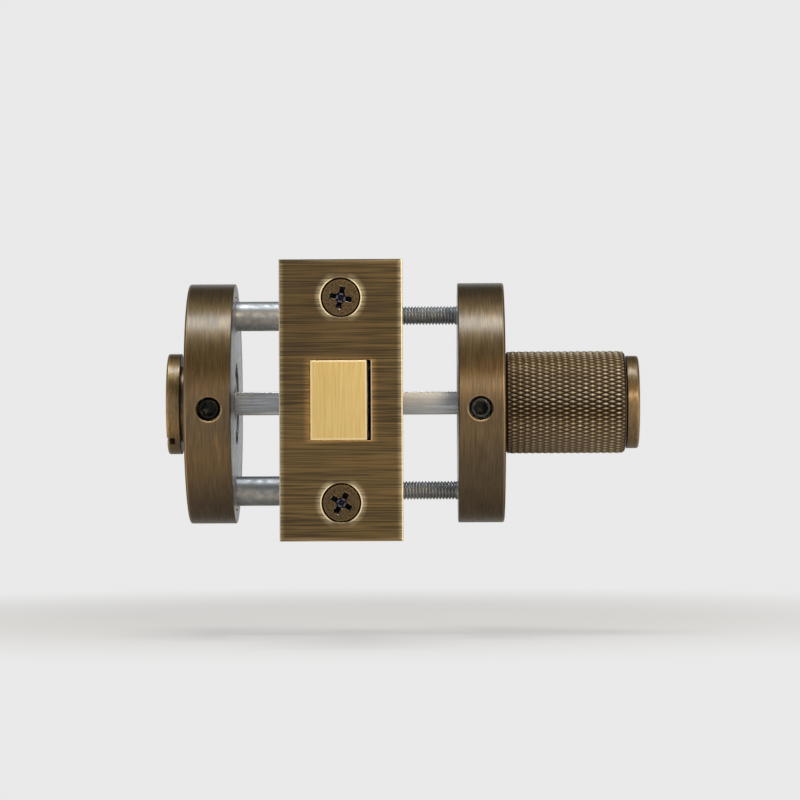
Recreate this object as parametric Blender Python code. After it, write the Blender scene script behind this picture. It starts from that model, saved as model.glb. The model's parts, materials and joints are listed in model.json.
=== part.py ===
"""Privacy thumb turn for a bathroom door: a bolt case, a knurled turn and a coin release.

Metres, +Z up. The origin is where the spindle's axis crosses the middle of the door.
+X points to the thumb turn, +Y from the door's edge into the door.
The bolt is drawn back, as it is when the door is unlocked.
"""
import math

import bmesh
import bpy
from mathutils import Matrix, Vector

MM = 0.001
GAP = 0.3 * MM

# The door and its drillings
DOOR_THICKNESS = 48.0 * MM
BACKSET = 57.0 * MM

# Roses, the turned covers that stand on the two door faces
ROSE_RADIUS = 26.0 * MM
ROSE_DEPTH = 10.0 * MM
ROSE_RIM_WALL = 2.7 * MM
ROSE_FRONT_WALL = 3.0 * MM
ROSE_ROUNDING = 0.8 * MM
ROSE_FOOT_CHAMFER = 0.3 * MM

# Mounting plates, bolted to the door inside the roses
PLATE_BASE = 2.5 * MM
PLATE_BOSS_WALL = 1.3 * MM
FIXING_EDGE = 4.0 * MM
LUG_WALL = 3.2 * MM
LUG_INSET = 0.2 * MM
LUG_ANGLE = math.radians(48.0)

# Bushes, washers and circlips that carry the two stems
STEM_RADIUS = 6.0 * MM
STEM_LAND = 0.5 * MM
BUSH_WALL = 1.3 * MM
BUSH_FLANGE = 0.8 * MM
BUSH_FLANGE_WIDTH = 1.9 * MM
WASHER_THICKNESS = 0.5 * MM
WASHER_WIDTH = 2.3 * MM
CLIP_THICKNESS = 0.9 * MM
CLIP_WIDTH = 2.5 * MM
CLIP_GROOVE = 0.8 * MM
CLIP_MOUTH = math.radians(70.0)

# Grub screws that hold the roses on their plates
GRUB_RADIUS = 2.25 * MM
GRUB_LENGTH = 4.0 * MM
GRUB_SINK = 0.7 * MM
GRUB_HEIGHT = 4.7 * MM
GRUB_DROP = math.radians(3.1)
GRUB_KEY = 2.5 * MM
GRUB_KEY_DEPTH = 1.8 * MM
GRUB_POINT = 1.0 * MM

# Thumb turn, a knurled barrel with a plain end cap
KNOB_RADIUS = 11.1 * MM
KNOB_LENGTH = 25.95 * MM
KNOB_CHAMFER = 0.4 * MM
KNURL_STARTS = 70
KNURL_PITCH = 2.8 * MM
KNURL_DEPTH = 0.3 * MM
CAP_RADIUS = 10.05 * MM
CAP_THICKNESS = 2.6 * MM
CAP_ROUNDING = 0.5 * MM
SPIGOT_RADIUS = 7.5 * MM
SPIGOT_LENGTH = 6.0 * MM

# Coin release on the other door face
BUTTON_RADIUS = 10.9 * MM
BUTTON_THICKNESS = 3.65 * MM
BUTTON_ROUNDING = 0.3 * MM
NECK_RADIUS = 8.2 * MM
NECK_LENGTH = 0.8 * MM
COIN_SLOT_WIDTH = 2.05 * MM
COIN_SLOT_DEPTH = 1.6 * MM
COIN_SLOT_ANGLE = math.radians(47.0)

# Spindle, a square bar from stem to stem
SPINDLE_SIZE = 5.0 * MM
SOCKET_DEPTH = 11.0 * MM

# Through bolts and the sleeve nuts they screw into
SCREW_RADIUS = 2.0 * MM
SCREW_HEAD_RADIUS = 3.6 * MM
SCREW_HEAD_HEIGHT = 2.2 * MM
SCREW_REACH = 16.0 * MM
SCREW_KEY = 3.0 * MM
SLEEVE_WALL = 0.9 * MM
SLEEVE_REACH = 4.0 * MM
SLEEVE_FLOOR = 2.0 * MM
SLEEVE_SLOT_WIDTH = 1.2 * MM
SLEEVE_SLOT_DEPTH = 1.0 * MM

# Faceplate, the forend behind it and their wood screws
FACEPLATE_HEIGHT = 57.0 * MM
FACEPLATE_WIDTH = 25.0 * MM
FACEPLATE_THICKNESS = 1.7 * MM
FACEPLATE_CHAMFER = 0.15 * MM
FOREND_THICKNESS = 1.7 * MM
APERTURE_CORNER = 0.6 * MM
WOOD_SCREW_EDGE = 7.75 * MM
WOOD_SCREW_HEAD_RADIUS = 3.75 * MM
WOOD_SCREW_SINK = 0.1 * MM
WOOD_SCREW_RADIUS = 1.9 * MM
WOOD_SCREW_LENGTH = 22.0 * MM
WOOD_SCREW_POINT = 5.0 * MM
CROSS_LENGTH = 4.2 * MM
CROSS_WIDTH = 1.1 * MM
CROSS_DEPTH = 1.5 * MM
CROSS_TURN_TOP = math.radians(12.0)
CROSS_TURN_BOTTOM = math.radians(30.0)

# Deadbolt and its tail
BOLT_WIDTH = 11.5 * MM
BOLT_HEIGHT = 16.2 * MM
BOLT_LENGTH = 30.0 * MM
BOLT_OFFSET = 0.5 * MM
BOLT_SIDE_PLAY = 0.8 * MM
BOLT_CHAMFER = 0.4 * MM
BOLT_THROW = 12.0 * MM
TAIL_HALF_WIDTH = 3.4 * MM
TAIL_OVERLAP = 11.0 * MM
TONGUE_HALF_HEIGHT = 3.5 * MM
TAIL_LEG = 5.0 * MM
TAIL_END_WALL = 2.25 * MM
PIN_RADIUS = 1.5 * MM

# Follower that the spindle turns, and the leaf spring under it
HUB_RADIUS = 5.5 * MM
HUB_FLAT = 0.5 * MM
JOURNAL_SHOULDER = 0.8 * MM
JOURNAL_PROUD = 0.3 * MM
FINGER_WIDTH = 3.3 * MM
FINGER_NECK = 2.0 * MM
FINGER_TIP_RADIUS = 1.4 * MM
POCKET_PLAY = 0.3 * MM
SPRING_THICKNESS = 0.45 * MM
SPRING_HALF_WIDTH = 4.0 * MM
SPRING_FLAT = 3.0 * MM
SPRING_RAMP = 6.5 * MM
SPRING_FOOT = 3.0 * MM

# Case: a tube behind the forend, then two folded halves held by rivets
TUBE_WALL = 0.7 * MM
CASE_WALL = 0.8 * MM
CASE_FOLD = 0.9 * MM
CASE_FRONT = 24.0 * MM
CASE_TONGUE = 10.0 * MM
CASE_TONGUE_INSET = 0.1 * MM
RIVET_RADIUS = 1.5 * MM
RIVET_HEAD_RADIUS = 2.4 * MM
RIVET_HEAD_HEIGHT = 0.7 * MM
RIVET_EDGE = 1.65 * MM

# Facets round each kind of turned piece
ROSE_SEGMENTS = 40
PLATE_SEGMENTS = 28
STEM_SEGMENTS = 20
SMALL_SEGMENTS = 16
RIVET_SEGMENTS = 12
ROUNDING_STEPS = 2

# Distances from the middle of the door, the same on both sides
DOOR_FACE = DOOR_THICKNESS / 2
ROSE_FACE = DOOR_FACE + ROSE_DEPTH
ROSE_FLOOR = ROSE_FACE - ROSE_FRONT_WALL
STEM_END = DOOR_FACE + GAP
GROOVE_START = STEM_END + STEM_LAND
CLIP_START = GROOVE_START + GAP
CLIP_END = CLIP_START + CLIP_THICKNESS
GROOVE_END = CLIP_END + GAP
WASHER_END = GROOVE_END + WASHER_THICKNESS
BUSH_START = WASHER_END + GAP
FLANGE_END = ROSE_FLOOR - GAP
FLANGE_START = FLANGE_END - BUSH_FLANGE
BOSS_END = FLANGE_START - GAP
PLATE_FRONT = DOOR_FACE + PLATE_BASE
SOCKET_END = STEM_END + SOCKET_DEPTH
TURN_BACK = ROSE_FACE + GAP
BARREL_END = TURN_BACK + KNOB_LENGTH
CAP_BACK = BARREL_END + GAP
CAP_END = CAP_BACK + CAP_THICKNESS
BUTTON_BACK = TURN_BACK + NECK_LENGTH
BUTTON_END = BUTTON_BACK + BUTTON_THICKNESS

# Radii that seat one piece in another
CAVITY_RADIUS = ROSE_RADIUS - ROSE_RIM_WALL
PLATE_RADIUS = CAVITY_RADIUS - GAP
FIXING_PLACE = PLATE_RADIUS - FIXING_EDGE
WOOD_SCREW_PLACE = FACEPLATE_HEIGHT / 2 - WOOD_SCREW_EDGE
BUSH_BORE = STEM_RADIUS + GAP
BUSH_RADIUS = BUSH_BORE + BUSH_WALL
BUSH_SEAT = BUSH_RADIUS + GAP
WASHER_RADIUS = BUSH_BORE + WASHER_WIDTH
CLIP_RECESS_RADIUS = WASHER_RADIUS + GAP
BOSS_RADIUS = CLIP_RECESS_RADIUS + PLATE_BOSS_WALL
GROOVE_RADIUS = STEM_RADIUS - CLIP_GROOVE
SLEEVE_BORE = SCREW_RADIUS + GAP
SLEEVE_RADIUS = SLEEVE_BORE + SLEEVE_WALL

# The bolt mechanism, seen from the thumb turn
BOLT_LEFT = BOLT_OFFSET + BOLT_WIDTH / 2
BOLT_RIGHT = BOLT_WIDTH / 2 - BOLT_OFFSET
BOLT_REACH = math.hypot(BOLT_LEFT - BOLT_CHAMFER, BOLT_HEIGHT / 2)
TUBE_BORE = BOLT_REACH + GAP
TUBE_RADIUS = TUBE_BORE + TUBE_WALL
CASE_INNER = BOLT_LEFT + GAP
CASE_OUTER = CASE_INNER + CASE_WALL
HUB_HALF_LENGTH = CASE_INNER - GAP
JOURNAL_RADIUS = HUB_RADIUS - JOURNAL_SHOULDER
CRANK_RADIUS = BOLT_THROW / math.sqrt(2.0)
FINGER_REACH = CRANK_RADIUS + FINGER_TIP_RADIUS
CASE_CEILING = FINGER_REACH + GAP
CASE_TOP = CASE_CEILING + CASE_WALL
TAIL_BOTTOM = HUB_RADIUS + GAP
TAIL_TOP = math.sqrt(BOLT_REACH ** 2 - TAIL_HALF_WIDTH ** 2)
POCKET_MIDDLE = BOLT_THROW / 2
POCKET_HALF = FINGER_TIP_RADIUS + GAP + POCKET_PLAY
TAIL_REAR = POCKET_MIDDLE + POCKET_HALF + TAIL_END_WALL
RIVET_REAR_Y = TAIL_REAR + GAP + RIVET_RADIUS
CASE_REAR_INNER = RIVET_REAR_Y + RIVET_RADIUS + RIVET_EDGE
CASE_REAR = CASE_REAR_INNER + CASE_WALL
SPRING_CREST = HUB_RADIUS + GAP + SPRING_THICKNESS / 2
SPRING_SOLE = CASE_CEILING - GAP - SPRING_THICKNESS / 2
SPRING_END = SPRING_FLAT + SPRING_RAMP + SPRING_FOOT
RIVET_DROP = SPRING_SOLE - SPRING_THICKNESS / 2 - GAP - RIVET_RADIUS

# Places along the bolt's axis, measured from the spindle towards the door's edge
FOREND_FRONT = BACKSET - FACEPLATE_THICKNESS - GAP
FOREND_BACK = FOREND_FRONT - FOREND_THICKNESS
TUBE_FRONT = FOREND_BACK - GAP
BOLT_BACK = BACKSET - BOLT_LENGTH
TONGUE_FRONT = BOLT_BACK + TAIL_OVERLAP
PIN_PLACE = BOLT_BACK + TAIL_OVERLAP / 2


def move(bm, *matrices):
    """Carry a mesh through several placing matrices, the last one first."""
    placing = Matrix.Identity(4)
    for matrix in matrices:
        placing = placing @ matrix
    bm.transform(placing)
    return bm


def tidy(bm):
    """Weld points that coincide and turn every face outwards."""
    bmesh.ops.remove_doubles(bm, verts=bm.verts, dist=0.001 * MM)
    bmesh.ops.recalc_face_normals(bm, faces=bm.faces)
    return bm


def turned(profile, segments, side=1):
    """Spin (distance, radius) points round the X axis; side mirrors the distances.

    A profile that starts and ends on the axis closes there. Any other one is a ring.
    """
    bm = bmesh.new()
    points = [bm.verts.new((side * along, 0.0, radius)) for along, radius in profile]
    edges = [bm.edges.new(pair) for pair in zip(points, points[1:])]
    if profile[0][1] > 0.0:
        edges.append(bm.edges.new((points[-1], points[0])))
    bmesh.ops.spin(
        bm, geom=points + edges, axis=(1.0, 0.0, 0.0), cent=(0.0, 0.0, 0.0),
        angle=math.tau, steps=segments, use_merge=True,
    )
    return tidy(bm)


def rod(radius, start, end, segments=SMALL_SEGMENTS):
    """A plain round rod on the X axis."""
    return turned([(start, 0.0), (start, radius), (end, radius), (end, 0.0)], segments)


def block(low, high):
    """A box between two opposite corners, given in either order."""
    bm = bmesh.new()
    bmesh.ops.create_cube(bm, size=1.0)
    size = Vector(high) - Vector(low)
    middle = (Vector(high) + Vector(low)) / 2
    return tidy(move(bm, Matrix.Translation(middle), Matrix.Diagonal((*size, 1.0))))


def prism(outline, thickness, lift=0.0):
    """Extrude a closed outline of (y, z) points along X, from lift to lift + thickness."""
    bm = bmesh.new()
    face = bm.faces.new([bm.verts.new((lift, y, z)) for y, z in outline])
    grown = bmesh.ops.extrude_face_region(bm, geom=[face])["geom"]
    raised = [item for item in grown if isinstance(item, bmesh.types.BMVert)]
    bmesh.ops.translate(bm, verts=raised, vec=(thickness, 0.0, 0.0))
    return tidy(bm)


def arc(centre, radius, start, end, steps):
    """Points (a, b) along a round corner, from one angle to another."""
    angles = [start + (end - start) * step / steps for step in range(steps + 1)]
    return [(centre[0] + radius * math.cos(a), centre[1] + radius * math.sin(a)) for a in angles]


def rounded_rectangle(low, high, radius, steps=ROUNDING_STEPS):
    """Outline of a rectangle whose four corners are quarter circles."""
    quarter = math.pi / 2
    corners = [
        ((high[0] - radius, high[1] - radius), 0.0),
        ((low[0] + radius, high[1] - radius), quarter),
        ((low[0] + radius, low[1] + radius), 2 * quarter),
        ((high[0] - radius, low[1] + radius), 3 * quarter),
    ]
    outline = []
    for centre, start in corners:
        outline += arc(centre, radius, start, start + quarter, steps)
    return outline


def regular(count, across_flats):
    """Corners of a regular key or nut shape, given its width across flats."""
    radius = across_flats / 2 / math.cos(math.pi / count)
    step = math.tau / count
    return [(radius * math.cos(i * step), radius * math.sin(i * step)) for i in range(count)]


def mesh_object(name, bm):
    """Put a finished mesh into a named object, smooth except at real edges."""
    mesh = bpy.data.meshes.new(name)
    bm.to_mesh(mesh)
    bm.free()
    mesh.shade_smooth()
    mesh.set_sharp_from_angle(angle=math.radians(35.0))
    thing = bpy.data.objects.new(name, mesh)
    bpy.context.collection.objects.link(thing)
    return thing


def piece(name, bm, material):
    """A part of the assembly, in its own material."""
    thing = mesh_object(name, bm)
    thing.data.materials.append(material)
    return thing


def joined(shapes):
    """Several separate closed shapes in one mesh, to fuse or to cut with."""
    whole = bmesh.new()
    for shape in shapes:
        mesh = bpy.data.meshes.new("shape")
        shape.to_mesh(mesh)
        shape.free()
        whole.from_mesh(mesh)
        bpy.data.meshes.remove(mesh)
    return whole


def combine(thing, operation, shapes):
    """Fuse or cut a piece with hidden helper shapes, by a live Boolean modifier."""
    helper = mesh_object(f"{operation.lower()}_{thing.name}", joined(shapes))
    helper.hide_render = True
    helper.display_type = "WIRE"
    modifier = thing.modifiers.new(operation.title(), "BOOLEAN")
    modifier.operation = operation
    modifier.solver = "EXACT"
    modifier.use_self = len(shapes) > 1
    modifier.object = helper


def fuse(thing, *shapes):
    """Add shapes to a piece."""
    combine(thing, "UNION", shapes)


def cut(thing, *shapes):
    """Take shapes away from a piece."""
    combine(thing, "DIFFERENCE", shapes)


def metal(name, colour, roughness, metallic=1.0):
    """A plain finish of its own for one piece."""
    material = bpy.data.materials.new(name)
    material.use_nodes = True
    shader = material.node_tree.nodes["Principled BSDF"]
    shader.inputs["Base Color"].default_value = (*colour, 1.0)
    shader.inputs["Roughness"].default_value = roughness
    shader.inputs["Metallic"].default_value = metallic
    return material


def antique_brass(name):
    """Brass darkened to a brown bronze and brushed back a little."""
    return metal(name, (0.16, 0.11, 0.06), 0.38)


def satin_brass(name):
    """Bare brass with a fine grain."""
    return metal(name, (0.62, 0.45, 0.20), 0.35)


def zinc_steel(name):
    """Zinc plated steel."""
    return metal(name, (0.55, 0.56, 0.57), 0.4)


def black_steel(name):
    """Oil blackened steel."""
    return metal(name, (0.02, 0.02, 0.02), 0.45)


def nylon(name):
    """Off-white bearing plastic."""
    return metal(name, (0.75, 0.74, 0.70), 0.5, metallic=0.0)


def to_rim(side):
    """Placing matrices that point a shape's +X outwards along a rose's grub screw."""
    return (
        Matrix.Translation((side * (DOOR_FACE + GRUB_HEIGHT), 0.0, 0.0)),
        Matrix.Rotation(GRUB_DROP, 4, "X"),
        Matrix.Rotation(-math.pi / 2, 4, "Z"),
    )


def fixing(end):
    """Placing matrix of the upper (+1) or lower (-1) through bolt."""
    return Matrix.Translation((0.0, 0.0, end * FIXING_PLACE))


def square_bar(size, start, end):
    """A square bar on the X axis."""
    half = size / 2
    return block((start, -half, -half), (end, half, half))


def make_rose(side, name):
    """Deep flat-faced cover: a turned cup with a hole for the bush and one for its screw."""
    quarter = math.pi / 2
    corner = (ROSE_FACE - ROSE_ROUNDING, ROSE_RADIUS - ROSE_ROUNDING)
    profile = [
        (DOOR_FACE, CAVITY_RADIUS),
        (DOOR_FACE, ROSE_RADIUS - ROSE_FOOT_CHAMFER),
        (DOOR_FACE + ROSE_FOOT_CHAMFER, ROSE_RADIUS),
        *arc(corner, ROSE_ROUNDING, quarter, 0.0, ROUNDING_STEPS),
        (ROSE_FACE, BUSH_SEAT),
        (ROSE_FLOOR, BUSH_SEAT),
        (ROSE_FLOOR, CAVITY_RADIUS),
    ]
    rose = piece(name, turned(profile, ROSE_SEGMENTS, side), antique_brass(name))
    hole = rod(GRUB_RADIUS + GAP, CAVITY_RADIUS - GAP, ROSE_RADIUS + GAP)
    cut(rose, move(hole, *to_rim(side)))


def make_lug(side, facing):
    """Raised stretch of a mounting plate's rim, behind the grub screw or opposite it."""
    outer = PLATE_RADIUS - LUG_INSET
    inner = outer - LUG_WALL
    start = facing - LUG_ANGLE / 2
    end = facing + LUG_ANGLE / 2
    steps = 2 * ROUNDING_STEPS
    outline = arc((0.0, 0.0), outer, start, end, steps) + arc((0.0, 0.0), inner, end, start, steps)
    root = DOOR_FACE + PLATE_BASE / 2
    return prism(outline, side * (FLANGE_END - root), side * root)


def make_mounting_plate(side, name, hole_radius):
    """Zinc plate with a bearing boss, two lugs and two holes for the through bolts."""
    profile = [
        (DOOR_FACE, CLIP_RECESS_RADIUS),
        (BUSH_START, CLIP_RECESS_RADIUS),
        (BUSH_START, BUSH_SEAT),
        (BOSS_END, BUSH_SEAT),
        (BOSS_END, BOSS_RADIUS),
        (PLATE_FRONT, BOSS_RADIUS),
        (PLATE_FRONT, PLATE_RADIUS),
        (DOOR_FACE, PLATE_RADIUS),
    ]
    plate = piece(name, turned(profile, PLATE_SEGMENTS, side), zinc_steel(name))
    fuse(plate, make_lug(side, math.pi + GRUB_DROP), make_lug(side, GRUB_DROP))
    seat = ROSE_RADIUS - GRUB_SINK - GRUB_LENGTH - GAP
    low = DOOR_FACE - GAP
    high = PLATE_FRONT + GAP
    cutters = [move(rod(GRUB_RADIUS + GAP, seat, ROSE_RADIUS), *to_rim(side))]
    for end in (1, -1):
        cutters.append(move(rod(hole_radius, side * low, side * high), fixing(end)))
    cut(plate, *cutters)


def make_bush(side, name):
    """Flanged nylon bearing between a stem, its plate's boss and its rose."""
    flange = BUSH_RADIUS + BUSH_FLANGE_WIDTH
    profile = [
        (BUSH_START, BUSH_BORE),
        (BUSH_START, BUSH_RADIUS),
        (FLANGE_START, BUSH_RADIUS),
        (FLANGE_START, flange),
        (FLANGE_END, flange),
        (FLANGE_END, BUSH_RADIUS),
        (ROSE_FACE, BUSH_RADIUS),
        (ROSE_FACE, BUSH_BORE),
    ]
    piece(name, turned(profile, STEM_SEGMENTS, side), nylon(name))


def make_washer(side, name):
    """Thin steel washer between the circlip and the bush."""
    profile = [
        (GROOVE_END, BUSH_BORE), (GROOVE_END, WASHER_RADIUS),
        (WASHER_END, WASHER_RADIUS), (WASHER_END, BUSH_BORE),
    ]
    piece(name, turned(profile, STEM_SEGMENTS, side), zinc_steel(name))


def make_circlip(side, name):
    """Open spring ring in the stem's groove."""
    inner = GROOVE_RADIUS + GAP
    outer = inner + CLIP_WIDTH
    start = -math.pi / 2 + CLIP_MOUTH / 2
    end = start + math.tau - CLIP_MOUTH
    steps = STEM_SEGMENTS
    outline = arc((0.0, 0.0), outer, start, end, steps) + arc((0.0, 0.0), inner, end, start, steps)
    ring = prism(outline, side * CLIP_THICKNESS, side * CLIP_START)
    piece(name, ring, black_steel(name))


def make_grub_screw(side, name):
    """Headless set screw with a hexagon socket and a cone point."""
    tip = ROSE_RADIUS - GRUB_SINK - GRUB_LENGTH
    head = ROSE_RADIUS - GRUB_SINK
    profile = [
        (tip, 0.0), (tip, GRUB_RADIUS - GRUB_POINT), (tip + GRUB_POINT, GRUB_RADIUS),
        (head, GRUB_RADIUS), (head, 0.0),
    ]
    screw = piece(name, move(turned(profile, SMALL_SEGMENTS), *to_rim(side)), black_steel(name))
    key = prism(regular(6, GRUB_KEY), GRUB_KEY_DEPTH + GAP, head - GRUB_KEY_DEPTH)
    cut(screw, move(key, *to_rim(side)))


def stem_profile():
    """Half section of a stem from its inner end to the back of what it carries."""
    return [
        (STEM_END, STEM_RADIUS),
        (GROOVE_START, STEM_RADIUS),
        (GROOVE_START, GROOVE_RADIUS),
        (GROOVE_END, GROOVE_RADIUS),
        (GROOVE_END, STEM_RADIUS),
        (TURN_BACK, STEM_RADIUS),
    ]


def socket(side):
    """Square socket in a stem for the spindle."""
    return square_bar(SPINDLE_SIZE + 2 * GAP, side * (STEM_END - GAP), side * SOCKET_END)


def ring_of_points(bm, along, radii):
    """One ring of points round the X axis, with a radius for each."""
    step = math.tau / len(radii)
    return [
        bm.verts.new((along, radius * math.cos(i * step), radius * math.sin(i * step)))
        for i, radius in enumerate(radii)
    ]


def skin_between(bm, first, second):
    """Close the strip between two rings; the first may have a whole number of times more."""
    ratio = len(first) // len(second)
    for i, point in enumerate(second):
        edge = [first[(i * ratio + k) % len(first)] for k in range(ratio + 1)]
        bm.faces.new(edge + [second[(i + 1) % len(second)], point])


def knurled_skin(bm, start, end):
    """Diamond knurling: two families of helical grooves that leave rows of pyramids.

    Points lie on a grid of half pitches. Where the grid's two counts add up to an even
    number a pyramid has its point, elsewhere two grooves cross, and each cell of the grid
    is folded along the groove that runs from crossing to crossing.
    """
    around = 2 * KNURL_STARTS
    rows = max(2, round(2 * (end - start) / KNURL_PITCH))
    crossing = KNOB_RADIUS - KNURL_DEPTH
    rings = []
    for row in range(rows + 1):
        radii = [KNOB_RADIUS if (row + i) % 2 == 0 else crossing for i in range(around)]
        rings.append(ring_of_points(bm, start + (end - start) * row / rows, radii))
    for row, (near, far) in enumerate(zip(rings, rings[1:])):
        for i in range(around):
            j = (i + 1) % around
            if (row + i) % 2 == 0:
                bm.faces.new((near[i], near[j], far[i]))
                bm.faces.new((near[j], far[j], far[i]))
            else:
                bm.faces.new((near[i], near[j], far[j]))
                bm.faces.new((near[i], far[j], far[i]))
    return rings[0], rings[-1]


def make_turn_knob():
    """Thumb turn: a knurled barrel, bored for its end cap, on a stem with a square socket."""
    bm = bmesh.new()
    bore = SPIGOT_RADIUS + GAP
    bore_floor = BARREL_END - SPIGOT_LENGTH
    edge_radii = [KNOB_RADIUS - KNURL_DEPTH - KNOB_CHAMFER] * (2 * KNURL_STARTS)
    first, last = knurled_skin(bm, TURN_BACK + KNOB_CHAMFER, BARREL_END - KNOB_CHAMFER)
    back = ring_of_points(bm, TURN_BACK, edge_radii)
    front = ring_of_points(bm, BARREL_END, edge_radii)
    skin_between(bm, first, back)
    skin_between(bm, last, front)
    stem = [ring_of_points(bm, x, [radius] * STEM_SEGMENTS) for x, radius in stem_profile()]
    skin_between(bm, back, stem[-1])
    for near, far in zip(stem, stem[1:]):
        skin_between(bm, near, far)
    bm.faces.new(stem[0])
    mouth = ring_of_points(bm, BARREL_END, [bore] * STEM_SEGMENTS)
    floor = ring_of_points(bm, bore_floor, [bore] * STEM_SEGMENTS)
    skin_between(bm, front, mouth)
    skin_between(bm, mouth, floor)
    bm.faces.new(floor)
    knob = piece("turn_knob", tidy(bm), antique_brass("turn_knob"))
    cut(knob, socket(1))


def make_end_cap():
    """Plain disc that closes the barrel, on a spigot."""
    corner = (CAP_END - CAP_ROUNDING, CAP_RADIUS - CAP_ROUNDING)
    spigot_end = BARREL_END - SPIGOT_LENGTH + GAP
    profile = [
        (spigot_end, 0.0),
        (spigot_end, SPIGOT_RADIUS),
        (CAP_BACK, SPIGOT_RADIUS),
        (CAP_BACK, CAP_RADIUS),
        *arc(corner, CAP_ROUNDING, math.pi / 2, 0.0, ROUNDING_STEPS),
        (CAP_END, 0.0),
    ]
    piece("turn_end_cap", turned(profile, PLATE_SEGMENTS), antique_brass("turn_end_cap"))


def make_release_button():
    """Coin release: a flat button with one slot right across it, on a neck and a stem."""
    corner = (BUTTON_END - BUTTON_ROUNDING, BUTTON_RADIUS - BUTTON_ROUNDING)
    profile = [
        (STEM_END, 0.0),
        *stem_profile(),
        (TURN_BACK, NECK_RADIUS),
        (BUTTON_BACK, NECK_RADIUS),
        (BUTTON_BACK, BUTTON_RADIUS),
        *arc(corner, BUTTON_ROUNDING, math.pi / 2, 0.0, ROUNDING_STEPS),
        (BUTTON_END, 0.0),
    ]
    mesh = turned(profile, PLATE_SEGMENTS, -1)
    button = piece("release_button", mesh, antique_brass("release_button"))
    half = COIN_SLOT_WIDTH / 2
    floor = COIN_SLOT_DEPTH - BUTTON_END
    slot = block((-BUTTON_END - GAP, -ROSE_RADIUS, -half), (floor, ROSE_RADIUS, half))
    cut(button, move(slot, Matrix.Rotation(COIN_SLOT_ANGLE, 4, "X")), socket(-1))


def make_spindle():
    """Square bar that the turn and the release share."""
    end = SOCKET_END - GAP
    piece("spindle", square_bar(SPINDLE_SIZE, -end, end), zinc_steel("spindle"))


def make_through_bolt(end, name):
    """Machine screw with a cheese head and a hexagon socket, from the turn's plate."""
    seat = PLATE_FRONT + GAP
    top = seat + SCREW_HEAD_HEIGHT
    profile = [
        (-SCREW_REACH, 0.0), (-SCREW_REACH, SCREW_RADIUS), (seat, SCREW_RADIUS),
        (seat, SCREW_HEAD_RADIUS), (top, SCREW_HEAD_RADIUS), (top, 0.0),
    ]
    screw = piece(name, move(turned(profile, SMALL_SEGMENTS), fixing(end)), zinc_steel(name))
    key = prism(regular(6, SCREW_KEY), SCREW_HEAD_HEIGHT, top - SCREW_HEAD_HEIGHT / 2)
    cut(screw, move(key, fixing(end)))


def make_sleeve_nut(end, name):
    """Long nut with a slotted flat head, from the release's plate."""
    seat = -PLATE_FRONT - GAP
    top = seat - SCREW_HEAD_HEIGHT
    head_radius = SCREW_HEAD_RADIUS + SLEEVE_WALL / 2
    profile = [
        (top, 0.0), (top, head_radius), (seat, head_radius), (seat, SLEEVE_RADIUS),
        (SLEEVE_REACH, SLEEVE_RADIUS), (SLEEVE_REACH, SLEEVE_BORE),
        (seat + SLEEVE_FLOOR, SLEEVE_BORE), (seat + SLEEVE_FLOOR, 0.0),
    ]
    nut = piece(name, move(turned(profile, SMALL_SEGMENTS), fixing(end)), zinc_steel(name))
    half = SLEEVE_SLOT_WIDTH / 2
    slot = block((top - GAP, -ROSE_DEPTH, -half), (top + SLEEVE_SLOT_DEPTH, ROSE_DEPTH, half))
    cut(nut, move(slot, fixing(end)))


def edge_prism(outline, start, end):
    """Extrude a closed outline of (x, z) points along Y, between two depths in the door."""
    return move(prism(outline, end - start, start), Matrix.Rotation(math.pi / 2, 4, "Z"))


def aperture(slack):
    """Outline of the bolt's opening; seen from behind, x runs the other way."""
    low = (-(BOLT_RIGHT + BOLT_SIDE_PLAY + slack), -(BOLT_HEIGHT / 2 + GAP + slack))
    high = (BOLT_LEFT + GAP + slack, BOLT_HEIGHT / 2 + GAP + slack)
    return rounded_rectangle(low, high, APERTURE_CORNER)


def wood_screw_place(end):
    """Placing matrices that point a shape's +X into the door's edge at one screw hole."""
    return (
        Matrix.Translation((0.0, -BACKSET, end * WOOD_SCREW_PLACE)),
        Matrix.Rotation(math.pi / 2, 4, "Z"),
    )


def plate_blank(thickness, front):
    """Square-cornered plate across the door's edge, with its front edges eased."""
    half_width = FACEPLATE_WIDTH / 2
    half_height = FACEPLATE_HEIGHT / 2
    bm = block((-half_width, -front, -half_height), (half_width, thickness - front, half_height))
    front_edges = [e for e in bm.edges if all(abs(v.co.y + front) < GAP for v in e.verts)]
    bmesh.ops.bevel(bm, geom=front_edges, offset=FACEPLATE_CHAMFER, segments=1, affect="EDGES")
    return tidy(bm)


def make_faceplate():
    """Visible plate, with the bolt's opening and two countersunk holes."""
    plate = piece(
        "faceplate", plate_blank(FACEPLATE_THICKNESS, BACKSET), antique_brass("faceplate"),
    )
    mouth = WOOD_SCREW_HEAD_RADIUS - WOOD_SCREW_SINK + GAP * math.sqrt(2.0)
    depth = FACEPLATE_THICKNESS + GAP
    sink = [(-GAP, 0.0), (-GAP, mouth + GAP), (depth, mouth - depth), (depth, 0.0)]
    sinks = [move(turned(sink, PLATE_SEGMENTS), *wood_screw_place(end)) for end in (1, -1)]
    opening = edge_prism(aperture(0.0), -BACKSET - GAP, -BACKSET + depth)
    cut(plate, opening, *sinks)


def make_forend():
    """Steel plate behind the faceplate, which carries the case."""
    plate = piece("forend", plate_blank(FOREND_THICKNESS, FOREND_FRONT), zinc_steel("forend"))
    depth = FACEPLATE_THICKNESS + FOREND_THICKNESS + 2 * GAP
    hole_radius = WOOD_SCREW_RADIUS + 2 * GAP
    holes = [move(rod(hole_radius, 0.0, depth), *wood_screw_place(end)) for end in (1, -1)]
    opening = edge_prism(aperture(GAP), -FOREND_FRONT - GAP, -FOREND_BACK + GAP)
    cut(plate, opening, *holes)


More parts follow.
